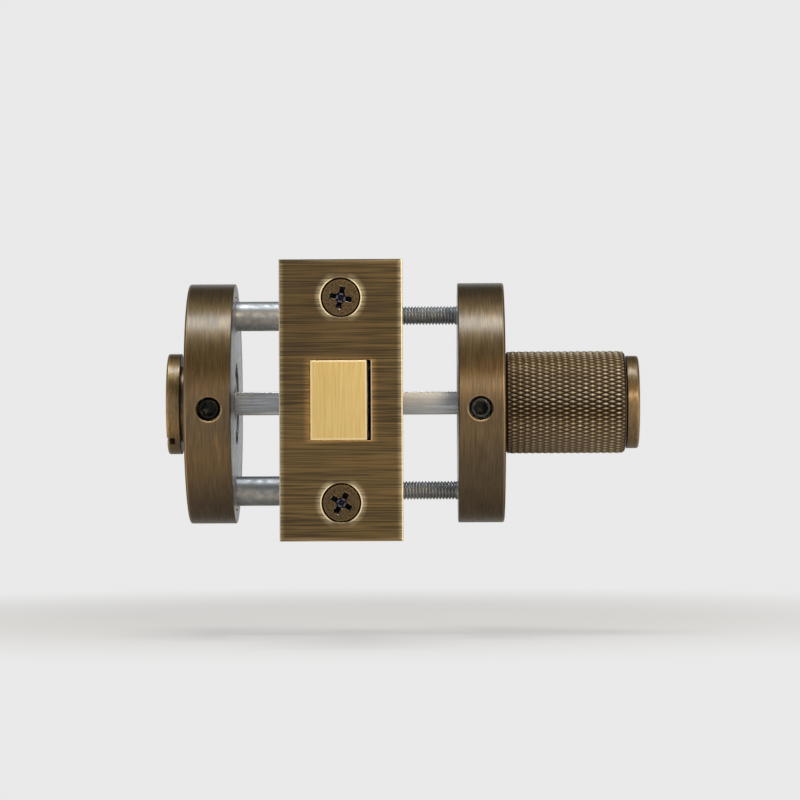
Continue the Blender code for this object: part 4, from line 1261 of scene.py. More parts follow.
def make_through_bolt(place, end, material):
    """Socket, round head, plain shank, thread and tip as one skin."""
    columns, half = FASTENER_COLUMNS, SCREW_KEY / 2
    key_floor = screw_top - SCREW_HEAD_HEIGHT / 2
    start = span(f"through_bolt_{place}")[0][0]
    key = keyed_rings([
        (key_floor, half * 0.3), (key_floor + 0.3 * MM, half), (screw_top - 0.2 * MM, half),
    ], 6, columns)
    head = carried_round(eased([
        (screw_top - 0.5 * MM, half), (screw_top, half * HEX_CORNER + 0.1 * MM),
        (screw_top, SCREW_HEAD_RADIUS), (screw_seat, SCREW_HEAD_RADIUS), (screw_seat, SCREW_RADIUS),
        (screw_seat - 2.0 * MM, SCREW_RADIUS), (start, SCREW_RADIUS),
    ], np.array([0, 0.05, 0.35, 0.1, 0.1, 0.05, 0]) * MM), columns)
    thread = threaded_rings(
        screw_seat - PLAIN_SHANK, start + 0.5 * MM, SCREW_RADIUS, SCREW_THREAD_DEPTH, SCREW_PITCH, columns,
    )
    core = SCREW_RADIUS - 0.45 * MM
    tip = carried_round([(start + 0.02 * MM, core), (start, core - 0.05 * MM)], columns)
    screw = skin(f"{place}_machine_screw", np.concatenate([key, head, thread, tip]))
    placed(screw, Matrix.Translation((0.0, 0.0, end * FIXING_PLACE)))
    return dress(screw, material, f"through_bolt_{place}")


def make_sleeve_nut(place, end, material):
    """A long sleeve that is open at one end, with a slotted head at the other."""
    seat, top = -screw_seat, -screw_top
    corners = [
        (top, 0.0), (top, SLEEVE_HEAD_RADIUS), (seat, SLEEVE_HEAD_RADIUS), (seat, SLEEVE_RADIUS),
        (SLEEVE_REACH, SLEEVE_RADIUS), (SLEEVE_REACH, SLEEVE_BORE),
        (seat + SLEEVE_FLOOR, SLEEVE_BORE), (seat + SLEEVE_FLOOR, 0.0),
    ]
    easing = np.array([0, 0.4, 0.1, 0.1, 0.25, 0.2, 0.2, 0]) * MM
    nut = turned(f"{place}_long_nut", corners, easing, columns=FASTENER_COLUMNS)
    floor = top + SLEEVE_SLOT_DEPTH
    reach, half = 2 * SLEEVE_RADIUS, SLEEVE_SLOT_WIDTH / 2
    slot = bar("slot", [(top - GAP, reach, half), (floor, reach, half)], 0.05 * MM)
    carve(nut, slot)
    placed(nut, Matrix.Translation((0.0, 0.0, end * FIXING_PLACE)))
    return dress(nut, material, f"sleeve_nut_{place}")


print(make_spindle().name)
for place, end in END_PLACES.items():
    print(make_through_bolt(place, end, zinc).name, make_sleeve_nut(place, end, zinc).name)

# %% [markdown]
# The faceplate is what shows in the door's edge, so it carries the strongest brush lines.
# They run across it. Over the darkened face, the brush has caught the outline and each
# countersink: a thin bright line along the outline and a ring round each countersink. A warm
# glow round the opening is a painted reflection of the brass bolt, and a pale line down its
# right side is a painted highlight. Down in the countersinks and on the opening's walls the
# colour is dark patina that also paints the shade there. Each of these is a distance to a
# simple shape, worked out from x and z. The strokes are rows of noise, each with its own
# run, and they are stronger towards the plate's foot.

# %% Faceplate brass
FACEPLATE_THICKNESS = 1.7 * MM
BOLT_SLIP = 0.05 * MM
BOLT_SIDE_PLAY = 0.8 * MM
bolt_low, bolt_high = span("deadbolt")
APERTURE_LEFT, APERTURE_RIGHT = bolt_low[0] - BOLT_SLIP, bolt_high[0] + BOLT_SIDE_PLAY
APERTURE_HALF_HEIGHT = bolt_high[2] + BOLT_SLIP
SINK_MOUTH = 4.07 * MM
WOOD_SCREW_EDGE = 7.75 * MM
PLATE_DARK = (0.036, 0.025, 0.011)
PLATE_WARM = (0.150, 0.096, 0.033)
BOLT_REFLECTION_GLOW = (0.36, 0.20, 0.06)
BARE_WEAR_AND_HIGHLIGHT = (1.0, 0.86, 0.58)
plate_low, plate_high = span("faceplate")
half_width, half_height = plate_high[0], plate_high[2]
screw_place = half_height - WOOD_SCREW_EDGE
edge_y = plate_low[1]


def outside_span(value, low, high):
    """Distance by which a coordinate lies outside a span, negative inside it."""
    return (value - (low + high) / 2).size() - (high - low) / 2


def rub(distance, width, strength=1.0):
    """Wear that is full at an edge and fades to nothing over a width."""
    return distance.ramp(0.0, width, strength, 0.0)


def outline_wear(x, z):
    """Bright line along the outline: strong on the turn's side, weak at both ends."""
    right = x * -1.0 + half_width
    left = x + half_width
    ends = z.size() * -1.0 + half_height
    line = rub(right - 0.14 * MM, 0.28 * MM).most(rub(left, 0.36 * MM, 0.8)).most(rub(ends, 0.2 * MM, 0.3))
    haze = rub(right, 1.4 * MM, 0.35).most(rub(left, 1.2 * MM, 0.25)).most(rub(ends, 0.9 * MM, 0.15))
    return line, haze


def sink_wear(x, z):
    """Bright halo round a countersink, weaker above and below, where the brush runs along it."""
    away = x.hypot(z.size() - screw_place) - SINK_MOUTH
    weight = away.ramp(-0.06 * MM, 0.0) * x.size().ramp(0.25 * SINK_MOUTH, 0.75 * SINK_MOUTH, 0.12, 1.0)
    return rub(away, 0.45 * MM) * weight, rub(away, 1.5 * MM, 0.4) * weight


# painted reflection: a warm glow beside the opening stands in for the brass bolt reflected in the plate
def painted_bolt_reflection(x, z):
    """Warm glow beside the bolt's opening, fainter above and below it."""
    beside = outside_span(x, APERTURE_LEFT, APERTURE_RIGHT)
    above = z.size() - APERTURE_HALF_HEIGHT
    sides = rub(beside, 1.7 * MM) * rub(above, 0.6 * MM)
    return sides.most(rub(above, 1.1 * MM, 0.35) * rub(beside, 0.6 * MM))


def opening_edge(x, z):
    """Pale line down the opening's right side, where the edge catches the light."""
    beside = x - APERTURE_RIGHT
    above = z.size() - APERTURE_HALF_HEIGHT
    line = rub(beside, 0.4 * MM, 0.45) * beside.ramp(-0.1 * MM, 0.0)
    return line * above.ramp(-0.4 * MM, 0.2 * MM, 1.0, 0.0)


def faceplate_brass(name):
    """Brushed across; every rubbed place is broken up by the same brush strokes.

    The colour starts dark or warm by the strokes. Then come the painted reflection of the
    bolt round the opening and the painted highlight down its side, the rubbed edges and
    rings, and the dark of unbrushed patina, which also paints the shade in the countersinks
    and the opening.
    """
    material, tree, shader, (x, y, z) = finish(name, 0.3)
    fine = strokes(x, z, 6700.0, 75.0) * 0.6 + strokes(x, z, 4100.0, 45.0) * 0.4
    soft = noise(x * 70.0, y * 900.0, z * 5200.0, detail=1.0)
    cloud = patina(x, y, z, 110.0)
    streak = fine * 0.75 + soft * 0.25
    contrast = z.ramp(-half_height, half_height, 1.45, 0.95)
    lower = z.ramp(-half_height, half_height, 0.13, -0.17)
    lightness = (streak.ramp(*NOISE_SPAN) - 0.5) * contrast + cloud.ramp(0.25, 0.75) * 0.2
    lightness = lightness + lower + 0.37
    colour = mixed(lightness, PLATE_DARK, PLATE_WARM)
    broken = streak.ramp(0.38, 0.62, 0.2, 1.0)
    # painted reflection of the bolt: a warm glow round the opening
    reflection_warmth = x.hypot(z * 0.55).ramp(3.0 * MM, 12.0 * MM, 0.07, 0.0)
    colour = mixed((painted_bolt_reflection(x, z) * 0.8).most(reflection_warmth) * broken, colour, BOLT_REFLECTION_GLOW)
    # painted highlight: a pale line down the opening's right side
    colour = mixed(opening_edge(x, z), colour, BARE_WEAR_AND_HIGHLIGHT)
    (line, haze), (ring, halo) = outline_wear(x, z), sink_wear(x, z)
    rubbed = (haze.most(halo) * broken).most(line.most(ring) * broken.ramp(0.0, 1.0, 0.75, 1.0))
    colour = mixed(rubbed, colour, BARE_WEAR_AND_HIGHLIGHT)
    # dark patina where no brush reaches, which also paints the shade in the countersinks, on the opening's
    # walls and on the plate's sides
    sunk = (x.hypot(z.size() - screw_place) - SINK_MOUTH).ramp(-0.12 * MM, -0.02 * MM, 1.0, 0.0)
    unbrushed_and_shaded = sunk.most((y - edge_y).ramp(0.12 * MM, 0.4 * MM, 0.0, 0.8))
    plug(tree, shader.inputs["Base Color"], mixed(unbrushed_and_shaded, colour, GROOVE_PATINA_AND_SHADE))
    plug(tree, shader.inputs["Roughness"], streak.ramp(*NOISE_SPAN, 0.40, 0.30))
    relief(tree, shader, soft, 0.006 * MM)
    return material


print("faceplate:", round(2 * half_width / MM, 1), "by", round(2 * half_height / MM, 1), "mm")

# %% [markdown]
# The plate itself is punched from strip, with its front edges eased. The opening for the
# bolt and the two countersinks are cut next. A cutter that widens towards the front leaves
# a small chamfer round the opening; the pale line down its right side is a painted
# highlight in the plate's brass.

# %% Faceplate and forend
APERTURE_CORNER = 0.35 * MM
APERTURE_FLARE = 0.04 * MM
FOREND_THICKNESS = 1.7 * MM
FOREND_HOLE = 2.5 * MM
FACEPLATE_CORNER = 0.1 * MM
FACEPLATE_EASING = 0.22 * MM
PLATE_SHARP_EDGE = 25.0


def opening_cutter(front, depth, slack):
    """Cutter for the bolt's opening: a rounded bar along Y that flares at its front."""
    half_x = (APERTURE_RIGHT - APERTURE_LEFT) / 2 + slack
    half_z = APERTURE_HALF_HEIGHT + slack
    middle = (APERTURE_RIGHT + APERTURE_LEFT) / 2
    flare = APERTURE_FLARE + PROUD
    stations = [
        (front - PROUD, half_x + flare, half_z + flare),
        (front + APERTURE_FLARE, half_x, half_z), (front + depth + PROUD, half_x, half_z),
    ]
    cutter = bar("opening", stations, APERTURE_CORNER)
    return placed(cutter, Matrix.Translation((middle, 0.0, 0.0)), along("Y"))


def into_edge(end):
    """Places that point a shape's +X into the door's edge at one wood screw."""
    return Matrix.Translation((0.0, edge_y, end * screw_place)), along("Y")


def make_faceplate():
    """An eased plate, less the opening and two countersinks of 90 degrees."""
    plate = eased_bar(
        "edge_plate", edge_y, edge_y + FACEPLATE_THICKNESS, half_width, half_height,
        FACEPLATE_CORNER, 0.05 * MM, FACEPLATE_EASING,
    )
    placed(plate, along("Y"))
    beyond = FACEPLATE_THICKNESS + PROUD
    sink = [(-PROUD, SINK_MOUTH + PROUD), (beyond, SINK_MOUTH - beyond)]
    sinks = [placed(plain_turning("sink", sink, 128), *into_edge(end)) for end in (1, -1)]
    carve(plate, opening_cutter(edge_y, FACEPLATE_THICKNESS, 0.0), *sinks, sharp=PLATE_SHARP_EDGE)
    return dress(plate, faceplate_brass("faceplate_brass"), "faceplate")


def make_forend():
    """The steel plate behind it, with a looser opening and plain screw holes."""
    low, high = span("forend")
    plate = eased_bar("forend_plate", low[1], high[1], high[0], high[2], 0.3 * MM, 0.2 * MM)
    placed(plate, along("Y"))
    hole = [(0.0, FOREND_HOLE), (high[1] - edge_y + PROUD, FOREND_HOLE)]
    holes = [placed(plain_turning("hole", hole), *into_edge(end)) for end in (1, -1)]
    carve(plate, opening_cutter(low[1], FOREND_THICKNESS, GAP), *holes)
    return dress(plate, zinc, "forend")


print(make_faceplate().name, make_forend().name)

# %% [markdown]
# The wood screws have countersunk heads with a cross recess. The recess is two tapered
# blades and a round pit, painted black as painted shade, with a painted bluish reflection in
# the pit. A wood thread is coarse, climbs on a thin core and dies out at the point.

# %% Wood screws
WOOD_SCREW_HEAD_RADIUS = 3.75 * MM
WOOD_SCREW_SINK = 0.1 * MM
WOOD_SCREW_RADIUS = 1.9 * MM
WOOD_SCREW_LENGTH = 22.0 * MM
WOOD_SCREW_POINT = 5.0 * MM
WOOD_SCREW_PLAIN = 7.0 * MM
WOOD_SCREW_TAPER = 0.97
WOOD_THREAD_PITCH = 1.8 * MM
WOOD_THREAD_DEPTH = 0.55 * MM
WOOD_THREAD_RINGS = 12
CROSS_LENGTH = 4.2 * MM
CROSS_WIDTH = 1.0 * MM
CROSS_DEPTH = 1.5 * MM
CROSS_LIP = 0.14 * MM
CROSS_FLARE = 0.5 * MM
RECESS_REACH = 2.8 * MM
CROSS_TURNS = {"top": math.radians(12.0), "bottom": math.radians(30.0)}
SCREW_BRONZE = (0.107, 0.072, 0.033)
SCREW_SHADE = (0.036, 0.025, 0.012)
RECESS_PAINTED_SHADE = (0.012, 0.012, 0.016)
PIT_PAINTED_REFLECTION = (0.085, 0.088, 0.125)
PIT_RADIUS = 1.05 * MM


def screw_bronze(name):
    """Speckled bronze on the head, black down in the recess, brighter on the rim.

    The recess is what lies behind the face and near the axis; its black is painted shade,
    with a painted bluish reflection in the pit, and a pale line at its lip is a painted
    highlight. The span of near shrinks with the depth, so that the shank keeps the colour of
    the head.
    """
    material, tree, shader, (x, y, z) = finish(name, 0.2)
    speckle = noise(x * 2600.0, y * 2600.0, z * 2600.0, detail=2.0, roughness=0.7)
    colour = mixed(speckle.ramp(0.35, 0.65), SCREW_SHADE, SCREW_BRONZE)
    radius = x.hypot(z.size() - screw_place)
    rim = (radius - WOOD_SCREW_HEAD_RADIUS).ramp(-0.5 * MM, -0.05 * MM)
    colour = mixed(rim * 0.35, colour, WARM_BRASS)
    depth = y - (edge_y + WOOD_SCREW_SINK)
    reach = radius + depth.most(0.0) - RECESS_REACH
    middle = reach.ramp(-0.1 * MM, 0.1 * MM, 1.0, 0.0)
    # painted highlight: a pale line at the recess's lip
    lip = depth.ramp(0.01 * MM, 0.04 * MM) * middle * 0.5
    colour = mixed(lip * speckle.ramp(0.35, 0.6), colour, BARE_WEAR_AND_HIGHLIGHT)
    # painted shade down in the recess, and a painted bluish reflection in its pit
    inside = depth.ramp(0.12 * MM, 0.2 * MM) * middle
    recess = mixed(radius.ramp(0.8 * PIT_RADIUS, 1.1 * PIT_RADIUS), PIT_PAINTED_REFLECTION, RECESS_PAINTED_SHADE)
    plug(tree, shader.inputs["Base Color"], mixed(inside, colour, recess))
    plug(tree, shader.inputs["Roughness"], speckle.ramp(*NOISE_SPAN, 0.5, 0.36))
    relief(tree, shader, speckle, 0.012 * MM)
    return material


def cross_cutters(sink):
    """Two crossed blades and a round pit, each of which narrows towards its floor."""
    mouth, lip, floor = sink - CROSS_FLARE, sink + CROSS_LIP, sink + CROSS_DEPTH
    long, wide = CROSS_LENGTH / 2, CROSS_WIDTH / 2
    cutters = []
    for quarter in (0, 1):
        blade = bar("blade", [
            (mouth, long + 0.8 * MM, wide + 0.6 * MM), (lip, long + 0.2 * MM, wide),
            (floor, long * 0.45, wide * 0.8),
        ], 0.12 * MM)
        cutters.append(placed(blade, Matrix.Rotation(quarter * math.pi / 2, 4, "X")))
    pit = [
        (mouth, PIT_RADIUS + 0.6 * MM), (lip, PIT_RADIUS),
        (floor, 0.6 * PIT_RADIUS), (floor + 0.6 * MM, 0.05 * MM),
    ]
    return [*cutters, plain_turning("pit", pit, 32)]


def make_wood_screw(place, end, material):
    """Head, neck, thread and point as one skin, with a cross cut into the head."""
    columns = FASTENER_COLUMNS
    sink, head, shank = WOOD_SCREW_SINK, WOOD_SCREW_HEAD_RADIUS, WOOD_SCREW_RADIUS
    neck = sink + head - shank
    point = WOOD_SCREW_LENGTH - WOOD_SCREW_POINT
    easing = np.array([0, 0.12, 0.5, 0]) * MM
    corners = [(sink, 0.0), (sink, head), (neck, shank), (WOOD_SCREW_PLAIN, shank)]
    front = carried_round(eased(corners, easing), columns)
    wood_thread = (shank, WOOD_THREAD_DEPTH, WOOD_THREAD_PITCH, columns, WOOD_THREAD_RINGS)
    thread = threaded_rings(WOOD_SCREW_PLAIN, point, *wood_thread)
    tip = threaded_rings(point, WOOD_SCREW_LENGTH, *wood_thread, WOOD_SCREW_TAPER)
    screw = skin(f"{place}_wood_screw", np.concatenate([front, thread, tip[1:]]))
    carve(screw, *cross_cutters(sink))
    placed(screw, *into_edge(end), Matrix.Rotation(CROSS_TURNS[place], 4, "X"))
    return dress(screw, material, f"faceplate_screw_{place}")


bronze = screw_bronze("screw_bronze")
for place, end in END_PLACES.items():
    screw = make_wood_screw(place, end, bronze)
    print(screw.name, len(screw.data.polygons), "faces")

# %% [markdown]
# The bolt is bare brass, drawn through a die and ground on its end. The grinding lines run
# up and down. Its front edges are rounded a little, and a pale line along them is a painted
# highlight, brightest along the top. At its back a fork holds the steel tail.

# %% Deadbolt
BOLT_CORNER = 0.12 * MM
BOLT_CHAMFER = 0.1 * MM
BOLT_SHINE = 0.6 * MM
TAIL_HALF_WIDTH = 3.4 * MM
TAIL_OVERLAP = 11.0 * MM
PIN_RADIUS = 1.5 * MM
BOLT_BRASS = (0.508, 0.374, 0.137)
BOLT_PALE = (0.65, 0.50, 0.224)
bolt_middle = (bolt_low[0] + bolt_high[0]) / 2
fork_end = bolt_high[1] - TAIL_OVERLAP


def satin_brass(name):
    """Bare brass with fine lines up and down, paler along the edges of its end.

    The paler edges are a painted highlight, and the top edge is the palest. The others fade
    in over a distance from the outline.
    """
    material, tree, shader, (x, y, z) = finish(name)
    fine = noise(x * 3400.0, y * 60.0, z * 120.0, detail=2.0, roughness=0.6)
    broad = noise(x * 900.0, y * 30.0, z * 40.0, detail=1.0)
    streak = fine * 0.8 + broad * 0.2
    top = z * -1.0 + bolt_high[2]
    beyond = outside_span(x, bolt_low[0], bolt_high[0]).most(z * -1.0 - bolt_high[2])
    # painted highlight along the edges of the bolt's end, brightest along the top
    edge = rub(top - 0.2 * MM, 0.3 * MM, 0.85).most(rub(beyond * -1.0, BOLT_SHINE, 0.7))
    colour = mixed(streak.ramp(*NOISE_SPAN), BOLT_BRASS, BOLT_PALE)
    colour = mixed(edge * 0.8, colour, BARE_WEAR_AND_HIGHLIGHT)
    plug(tree, shader.inputs["Base Color"], colour)
    plug(tree, shader.inputs["Roughness"], streak.ramp(*NOISE_SPAN, 0.40, 0.30))
    relief(tree, shader, streak, 0.003 * MM)
    return material


def make_deadbolt():
    """A bar with a small chamfer at its front, forked and cross drilled at its back."""
    half_x, half_z = (bolt_high[0] - bolt_low[0]) / 2, bolt_high[2]
    bolt = bar("brass_bolt", [
        (bolt_low[1], half_x - BOLT_CHAMFER, half_z - BOLT_CHAMFER),
        (bolt_low[1] + BOLT_CHAMFER, half_x, half_z), (bolt_high[1], half_x, half_z),
    ], BOLT_CORNER)
    placed(bolt, Matrix.Translation((bolt_middle, 0.0, 0.0)), along("Y"))
    slack = TAIL_HALF_WIDTH + GAP
    fork = bar("fork", [
        (fork_end - GAP, slack, 2 * half_z), (bolt_high[1] + PROUD, slack, 2 * half_z),
    ], 0.1 * MM)
    reach = 2 * half_x
    hole = plain_turning("hole", [(-reach, PIN_RADIUS + GAP), (reach, PIN_RADIUS + GAP)])
    to_pin = Matrix.Translation((0.0, middle_of("bolt_pin")[1], 0.0))
    carve(bolt, placed(fork, along("Y")), placed(hole, to_pin))
    return dress(bolt, satin_brass("satin_brass"), "deadbolt")


print(make_deadbolt().name)

# %% [markdown]
# Behind the forend a thin tube guides the bolt, and two halves folded from sheet hold the
# follower. A fold in sheet has a radius of about the sheet's thickness. Each half is the
# rounded outside less a smaller inside, cut in two down the middle.

# %% Bolt tube and case
TUBE_WALL = 0.7 * MM
CASE_WALL = 0.8 * MM
CASE_FOLD = 0.9 * MM
CASE_TONGUE = 10.0 * MM
CASE_TONGUE_INSET = 0.1 * MM
CASE_INNER_FOLD = 0.2 * MM
JOURNAL_RADIUS = 4.7 * MM
tube_low, tube_high = span("bolt_tube")
case_high = span("case_right")[1]
case_front = tube_high[1] + GAP
tongue_half = math.sqrt((tube_high[0] - TUBE_WALL - GAP) ** 2 - case_high[0] ** 2)
RIVETS = ("case_rivet_rear_top", "case_rivet_rear_bottom", "case_rivet_front")


def make_bolt_tube():
    """A plain tube, turned about X and pointed along Y."""
    outer = tube_high[0]
    corners = [
        (tube_low[1], outer - TUBE_WALL), (tube_low[1], outer), (tube_high[1], outer),
        (tube_high[1], outer - TUBE_WALL),
    ]
    tube = placed(turned("guide_tube", corners, 0.15 * MM, closed=True), along("Y"))
    drawn = zinc_finish("drawn_zinc", (900.0, 60.0, 900.0), 0.33)
    return dress(tube, drawn, "bolt_tube")


def make_case_half(side, name, material):
    """The whole rounded case, less its inside and its other half, plus a tongue."""
    node = f"case_{name}"
    wide, tall, rear = case_high[0], case_high[2], case_high[1]
    half = eased_bar(f"case_half_{name}", case_front, rear, wide, tall, CASE_FOLD, CASE_FOLD, 0.02 * MM)
    inner = bar("inside", [
        (case_front - PROUD, wide - CASE_WALL, tall - CASE_WALL),
        (rear - CASE_WALL, wide - CASE_WALL, tall - CASE_WALL),
    ], CASE_INNER_FOLD)
    far = 2 * tall
    other = bar("other_half", [(-side * far, far * 2, far), (side * GAP / 2, far * 2, far)], 0.1 * MM)
    reach = side * far
    bearing = JOURNAL_RADIUS + GAP
    holes = [plain_turning("hole", [(0.0, bearing), (reach, bearing)], 96)]
    for rivet in RIVETS:
        _, y, z = middle_of(rivet)
        hole = plain_turning("hole", [(0.0, PIN_RADIUS + GAP), (reach, PIN_RADIUS + GAP)], 48)
        holes.append(placed(hole, Matrix.Translation((0.0, y, z))))
    carve(placed(half, along("Y")), placed(inner, along("Y")), other, *holes)
    thin = CASE_WALL / 2 - CASE_TONGUE_INSET
    tongue = eased_bar(
        "tongue", case_front - CASE_TONGUE - GAP, case_front + CASE_WALL, thin, tongue_half,
        0.15 * MM, 0.1 * MM, 0.3 * MM,
    )
    shift = Matrix.Translation((side * (wide - CASE_WALL / 2), 0.0, 0.0))
    carve(half, placed(tongue, shift, along("Y")), operation="UNION")
    return dress(half, material, node)


sheet = zinc_finish("zinc_sheet", (500.0, 500.0, 500.0), 0.38, 0.01 * MM)
print(make_bolt_tube().name)
for name, side in {"left": -1, "right": 1}.items():
    half = make_case_half(side, name, sheet)
    print(half.name, len(half.data.polygons), "faces")

# %% [markdown]
# Rivets hold the two halves together. A hammered head is a low dome, so its profile is an
# arc that falls from the middle to a thin rim.

# %% Rivets
RIVET_HEAD_RADIUS = 2.4 * MM
RIVET_HEAD_HEIGHT = 0.7 * MM
RIVET_RIM = 0.25 * MM
RIVET_COLUMNS = 64
DOME_START = 0.08
DOME_STEPS = 8


def dome(base, radius, rim, height):
    """Profile of a low dome: x falls with the square of the radius, from the top to the rim."""
    r = np.linspace(DOME_START, 1.0, DOME_STEPS)
    return np.column_stack([base + rim + (height - rim) * (1.0 - r**2), r * radius])


def make_rivet(name, material):
    """A domed head and half a shank, and the same mirrored at the other end."""
    seat = case_high[0] + GAP
    head = dome(seat, RIVET_HEAD_RADIUS, RIVET_RIM, RIVET_HEAD_HEIGHT)
    foot = np.array([
        (seat + 0.03 * MM, RIVET_HEAD_RADIUS), (seat, RIVET_HEAD_RADIUS - 0.03 * MM),
        (seat, PIN_RADIUS + 0.1 * MM), (seat - 0.1 * MM, PIN_RADIUS),
    ])
    half = np.concatenate([head, foot])
    mirrored = half[::-1] * np.array([-1.0, 1.0])
    rings = carried_round(np.concatenate([half, mirrored]), RIVET_COLUMNS)
    rivet = skin(name.replace("case_rivet", "domed_rivet"), rings)
    placed(rivet, Matrix.Translation(middle_of(name) * np.array([0.0, 1.0, 1.0])))
    return dress(rivet, material, name)


for name in RIVETS:
    print(make_rivet(name, zinc).name)

# %% [markdown]
# Four inner parts are right as the frame has them: the follower, the tail, its pin and the
# leaf spring. They keep their meshes and only get a finish.

# %% Parts that keep their shape
KEPT = {
    "follower": cast_zinc,
    "bolt_tail": zinc_finish("punched_steel", (200.0, 1400.0, 1400.0), 0.4),
    "bolt_pin": zinc_finish("pin_steel", (60.0, 2200.0, 2200.0), 0.25),
    "detent_spring": black_finish("spring_steel", (0.05, 0.05, 0.055), 0.3),
}
for node, material in KEPT.items():
    for slot in frame["nodes"][node].material_slots:
        slot.material = material
print("kept:", ", ".join(KEPT))

# %% [markdown]
# The studio is plain: pale walls, a pale floor, a dim ceiling and one soft light in it. A
# metal shows its surroundings more than its own colour, so they are as much a part of the
# finish as the brass is. The dim ceiling leaves the soft light alone as one clear band on
# every round rim, with darker brass above and below it. The camera and glossy metal see the
# same walls, and Light Path sets that picture of the room apart from the light it sheds.

# %% Room
WALL_LIGHT = 0.82
CEILING_LIGHT = 0.09
WALL_TOP = math.sin(math.radians(9.0))
CEILING_START = math.sin(math.radians(27.0))
BACKDROP_RISE = 0.14
BACKDROP_SPAN = (-0.2, 0.3)
ROOM_LIGHT = 0.35


def ray_kinds(tree):
    """Two fields of 1 or 0: seen by the camera itself, and seen by it or in gloss or glass."""
    path = tree.nodes.new("ShaderNodeLightPath")
    kinds = ("Is Camera Ray", "Is Glossy Ray", "Is Transmission Ray")
    camera_ray, glossy, through = [Field(tree, path.outputs[kind]) for kind in kinds]
    return camera_ray, camera_ray.most(glossy).most(through)


def make_room():
    """Brightness falls from wall to ceiling with the height of the direction looked in.

    Behind the set the wall is a backdrop, which reaches higher before the ceiling starts.
    """
    world = bpy.data.worlds.new("room")
    bpy.context.scene.world = world
    world.use_nodes = True
    tree = world.node_tree
    look = tree.nodes.new("ShaderNodeTexCoord")
    split = tree.nodes.new("ShaderNodeSeparateXYZ")
    tree.links.new(look.outputs["Generated"], split.inputs[0])
    behind = Field(tree, split.outputs[1]).ramp(*BACKDROP_SPAN)
    height = Field(tree, split.outputs[2]) - behind * BACKDROP_RISE
    seen = height.ramp(WALL_TOP, CEILING_START, WALL_LIGHT, CEILING_LIGHT)
    light = tree.nodes["Background"]
    light.inputs["Color"].default_value = (*WHITE, 1.0)
    plug(tree, light.inputs["Strength"], (seen - ROOM_LIGHT) * ray_kinds(tree)[1] + ROOM_LIGHT)


make_room()
print("room: walls", WALL_LIGHT, "ceiling", CEILING_LIGHT)

# %% [markdown]
# Two lights: the soft one overhead, and a small card above the camera and to its right,
# which puts a warm band across the turn's side. An area light's power is what it sends out
# in all, so the power is worked out from how bright the light's face should look: that
# times its area times pi.

# %% Lights
SOFTBOX_PLACE = (-0.02, -0.10, 0.65)
SOFTBOX_SIZE = (0.34, 0.18)
SOFTBOX_BRIGHTNESS = 12.2
SOFTBOX_TINT = (0.95, 1.0, 1.03)
CARD_PLACE = (0.195, -0.76, 0.24)
CARD_SIZE = (0.22, 0.12)
CARD_BRIGHTNESS = 24.0
CARD_TINT = (1.0, 0.79, 0.52)


def make_light(name, place, size, brightness, tint):
    """An area light that faces the origin; its -Z is turned from the place to the middle."""
    data = bpy.data.lights.new(name, "AREA")
    data.shape = "RECTANGLE"
    data.size, data.size_y = size
    data.energy = brightness * size[0] * size[1] * math.pi
    data.color = tint
    light = bpy.data.objects.new(name, data)
    bpy.context.collection.objects.link(light)
    light.location = place
    light.rotation_euler = Vector(place).to_track_quat("Z", "Y").to_euler()
    light.visible_camera = False
    return light


for light in (
    make_light("softbox", SOFTBOX_PLACE, SOFTBOX_SIZE, SOFTBOX_BRIGHTNESS, SOFTBOX_TINT),
    make_light("card", CARD_PLACE, CARD_SIZE, CARD_BRIGHTNESS, CARD_TINT),
):
    print(light.name, round(light.data.energy, 3), "W")

# %% [markdown]
# The floor is pale too. Close to the set it is lit like anything else and keeps the set's
# soft shadow. Farther off it turns into the brightness of the walls, so that no horizon
# cuts the picture in two. The camera sees the lit part faintly, while the rims reflect all
# of it. They also reflect a warm strip that lies askew in front of the set, as a sheet of
# gold card would, and that gives their lower halves a second, softer band.

# %% Floor
FLOOR_HEIGHT = -50.4 * MM
FLOOR_REACH = 6.0
FLOOR_COLOUR = (0.61, 0.565, 0.50)
SHADOW_SHARE = 0.45
SHADOW_NEAR = 0.05
SHADOW_FAR = 0.20
SHADOW_PLACE = 0.08
BOUNCE_GLOW = (1.85, 1.52, 1.08)
BOUNCE_PLACE = -0.083
BOUNCE_SKEW = 0.70
BOUNCE_REACH = 0.044
BOUNCE_EVEN = 0.3
FLOOR_ROUGHNESS = 0.9


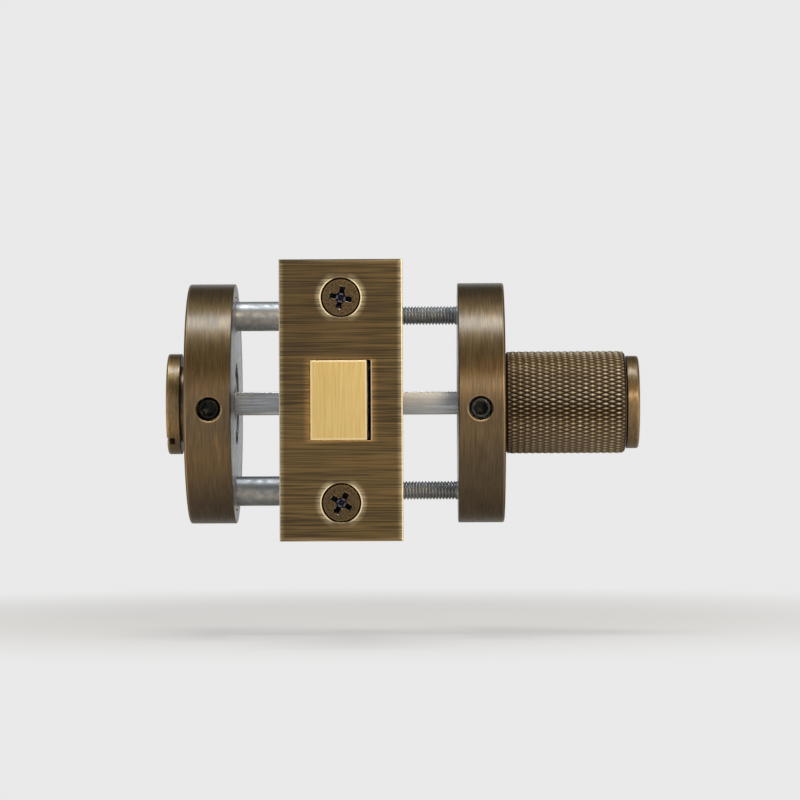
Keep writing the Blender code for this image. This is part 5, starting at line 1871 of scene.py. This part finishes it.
def make_floor():
    """A square of one face.

    How much of it is lit falls with the distance from a place behind the set. The warm strip
    falls with the distance from a slanting line in front of it.
    """
    mesh = bpy.data.meshes.new("floor")
    corners = np.array([(-1, -1), (1, -1), (1, 1), (-1, 1)]) * FLOOR_REACH
    mesh.from_pydata([(x, y, FLOOR_HEIGHT) for x, y in corners], [], [(0, 1, 2, 3)])
    floor = bpy.data.objects.new("floor", mesh)
    bpy.context.collection.objects.link(floor)
    material, tree, shader, (x, y, _) = finish("floor", metallic=0.0)
    shader.inputs["Base Color"].default_value = (*FLOOR_COLOUR, 1.0)
    shader.inputs["Roughness"].default_value = FLOOR_ROUGHNESS
    glow = tree.nodes.new("ShaderNodeEmission")
    glow.inputs["Strength"].default_value = WALL_LIGHT
    blend = tree.nodes.new("ShaderNodeMixShader")
    camera_ray, direct = ray_kinds(tree)
    lit = x.hypot(y - SHADOW_PLACE).ramp(SHADOW_NEAR, SHADOW_FAR, 1.0, 0.0)
    lit = lit * (camera_ray * (SHADOW_SHARE - 1.0) + 1.0)
    plug(tree, blend.inputs[0], direct * (lit * -1.0 + 1.0))
    askew = (x * BOUNCE_SKEW + y - BOUNCE_PLACE).size()
    bounce = (direct - camera_ray) * askew.ramp(BOUNCE_EVEN * BOUNCE_REACH, BOUNCE_REACH, 1.0, 0.0)
    plug(tree, glow.inputs["Color"], mixed(bounce, WHITE, BOUNCE_GLOW))
    tree.links.new(shader.outputs[0], blend.inputs[1])
    tree.links.new(glow.outputs[0], blend.inputs[2])
    tree.links.new(blend.outputs[0], tree.nodes["Material Output"].inputs["Surface"])
    mesh.materials.append(material)
    floor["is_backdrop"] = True
    return floor


print(make_floor().name)
bpy.context.scene.view_settings.view_transform = "Standard"

# %% [markdown]
# Last, the box of the finished model is set beside the box of the frame. The two have to
# agree, because new surfaces may refine a part but not change its size.

# %% Compare the boxes
low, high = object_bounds()
changes = [abs(a - b) for a, b in zip([*low, *high], [*cad_low, *cad_high])]
print("largest change:", round(max(changes) / MM, 3), "mm")
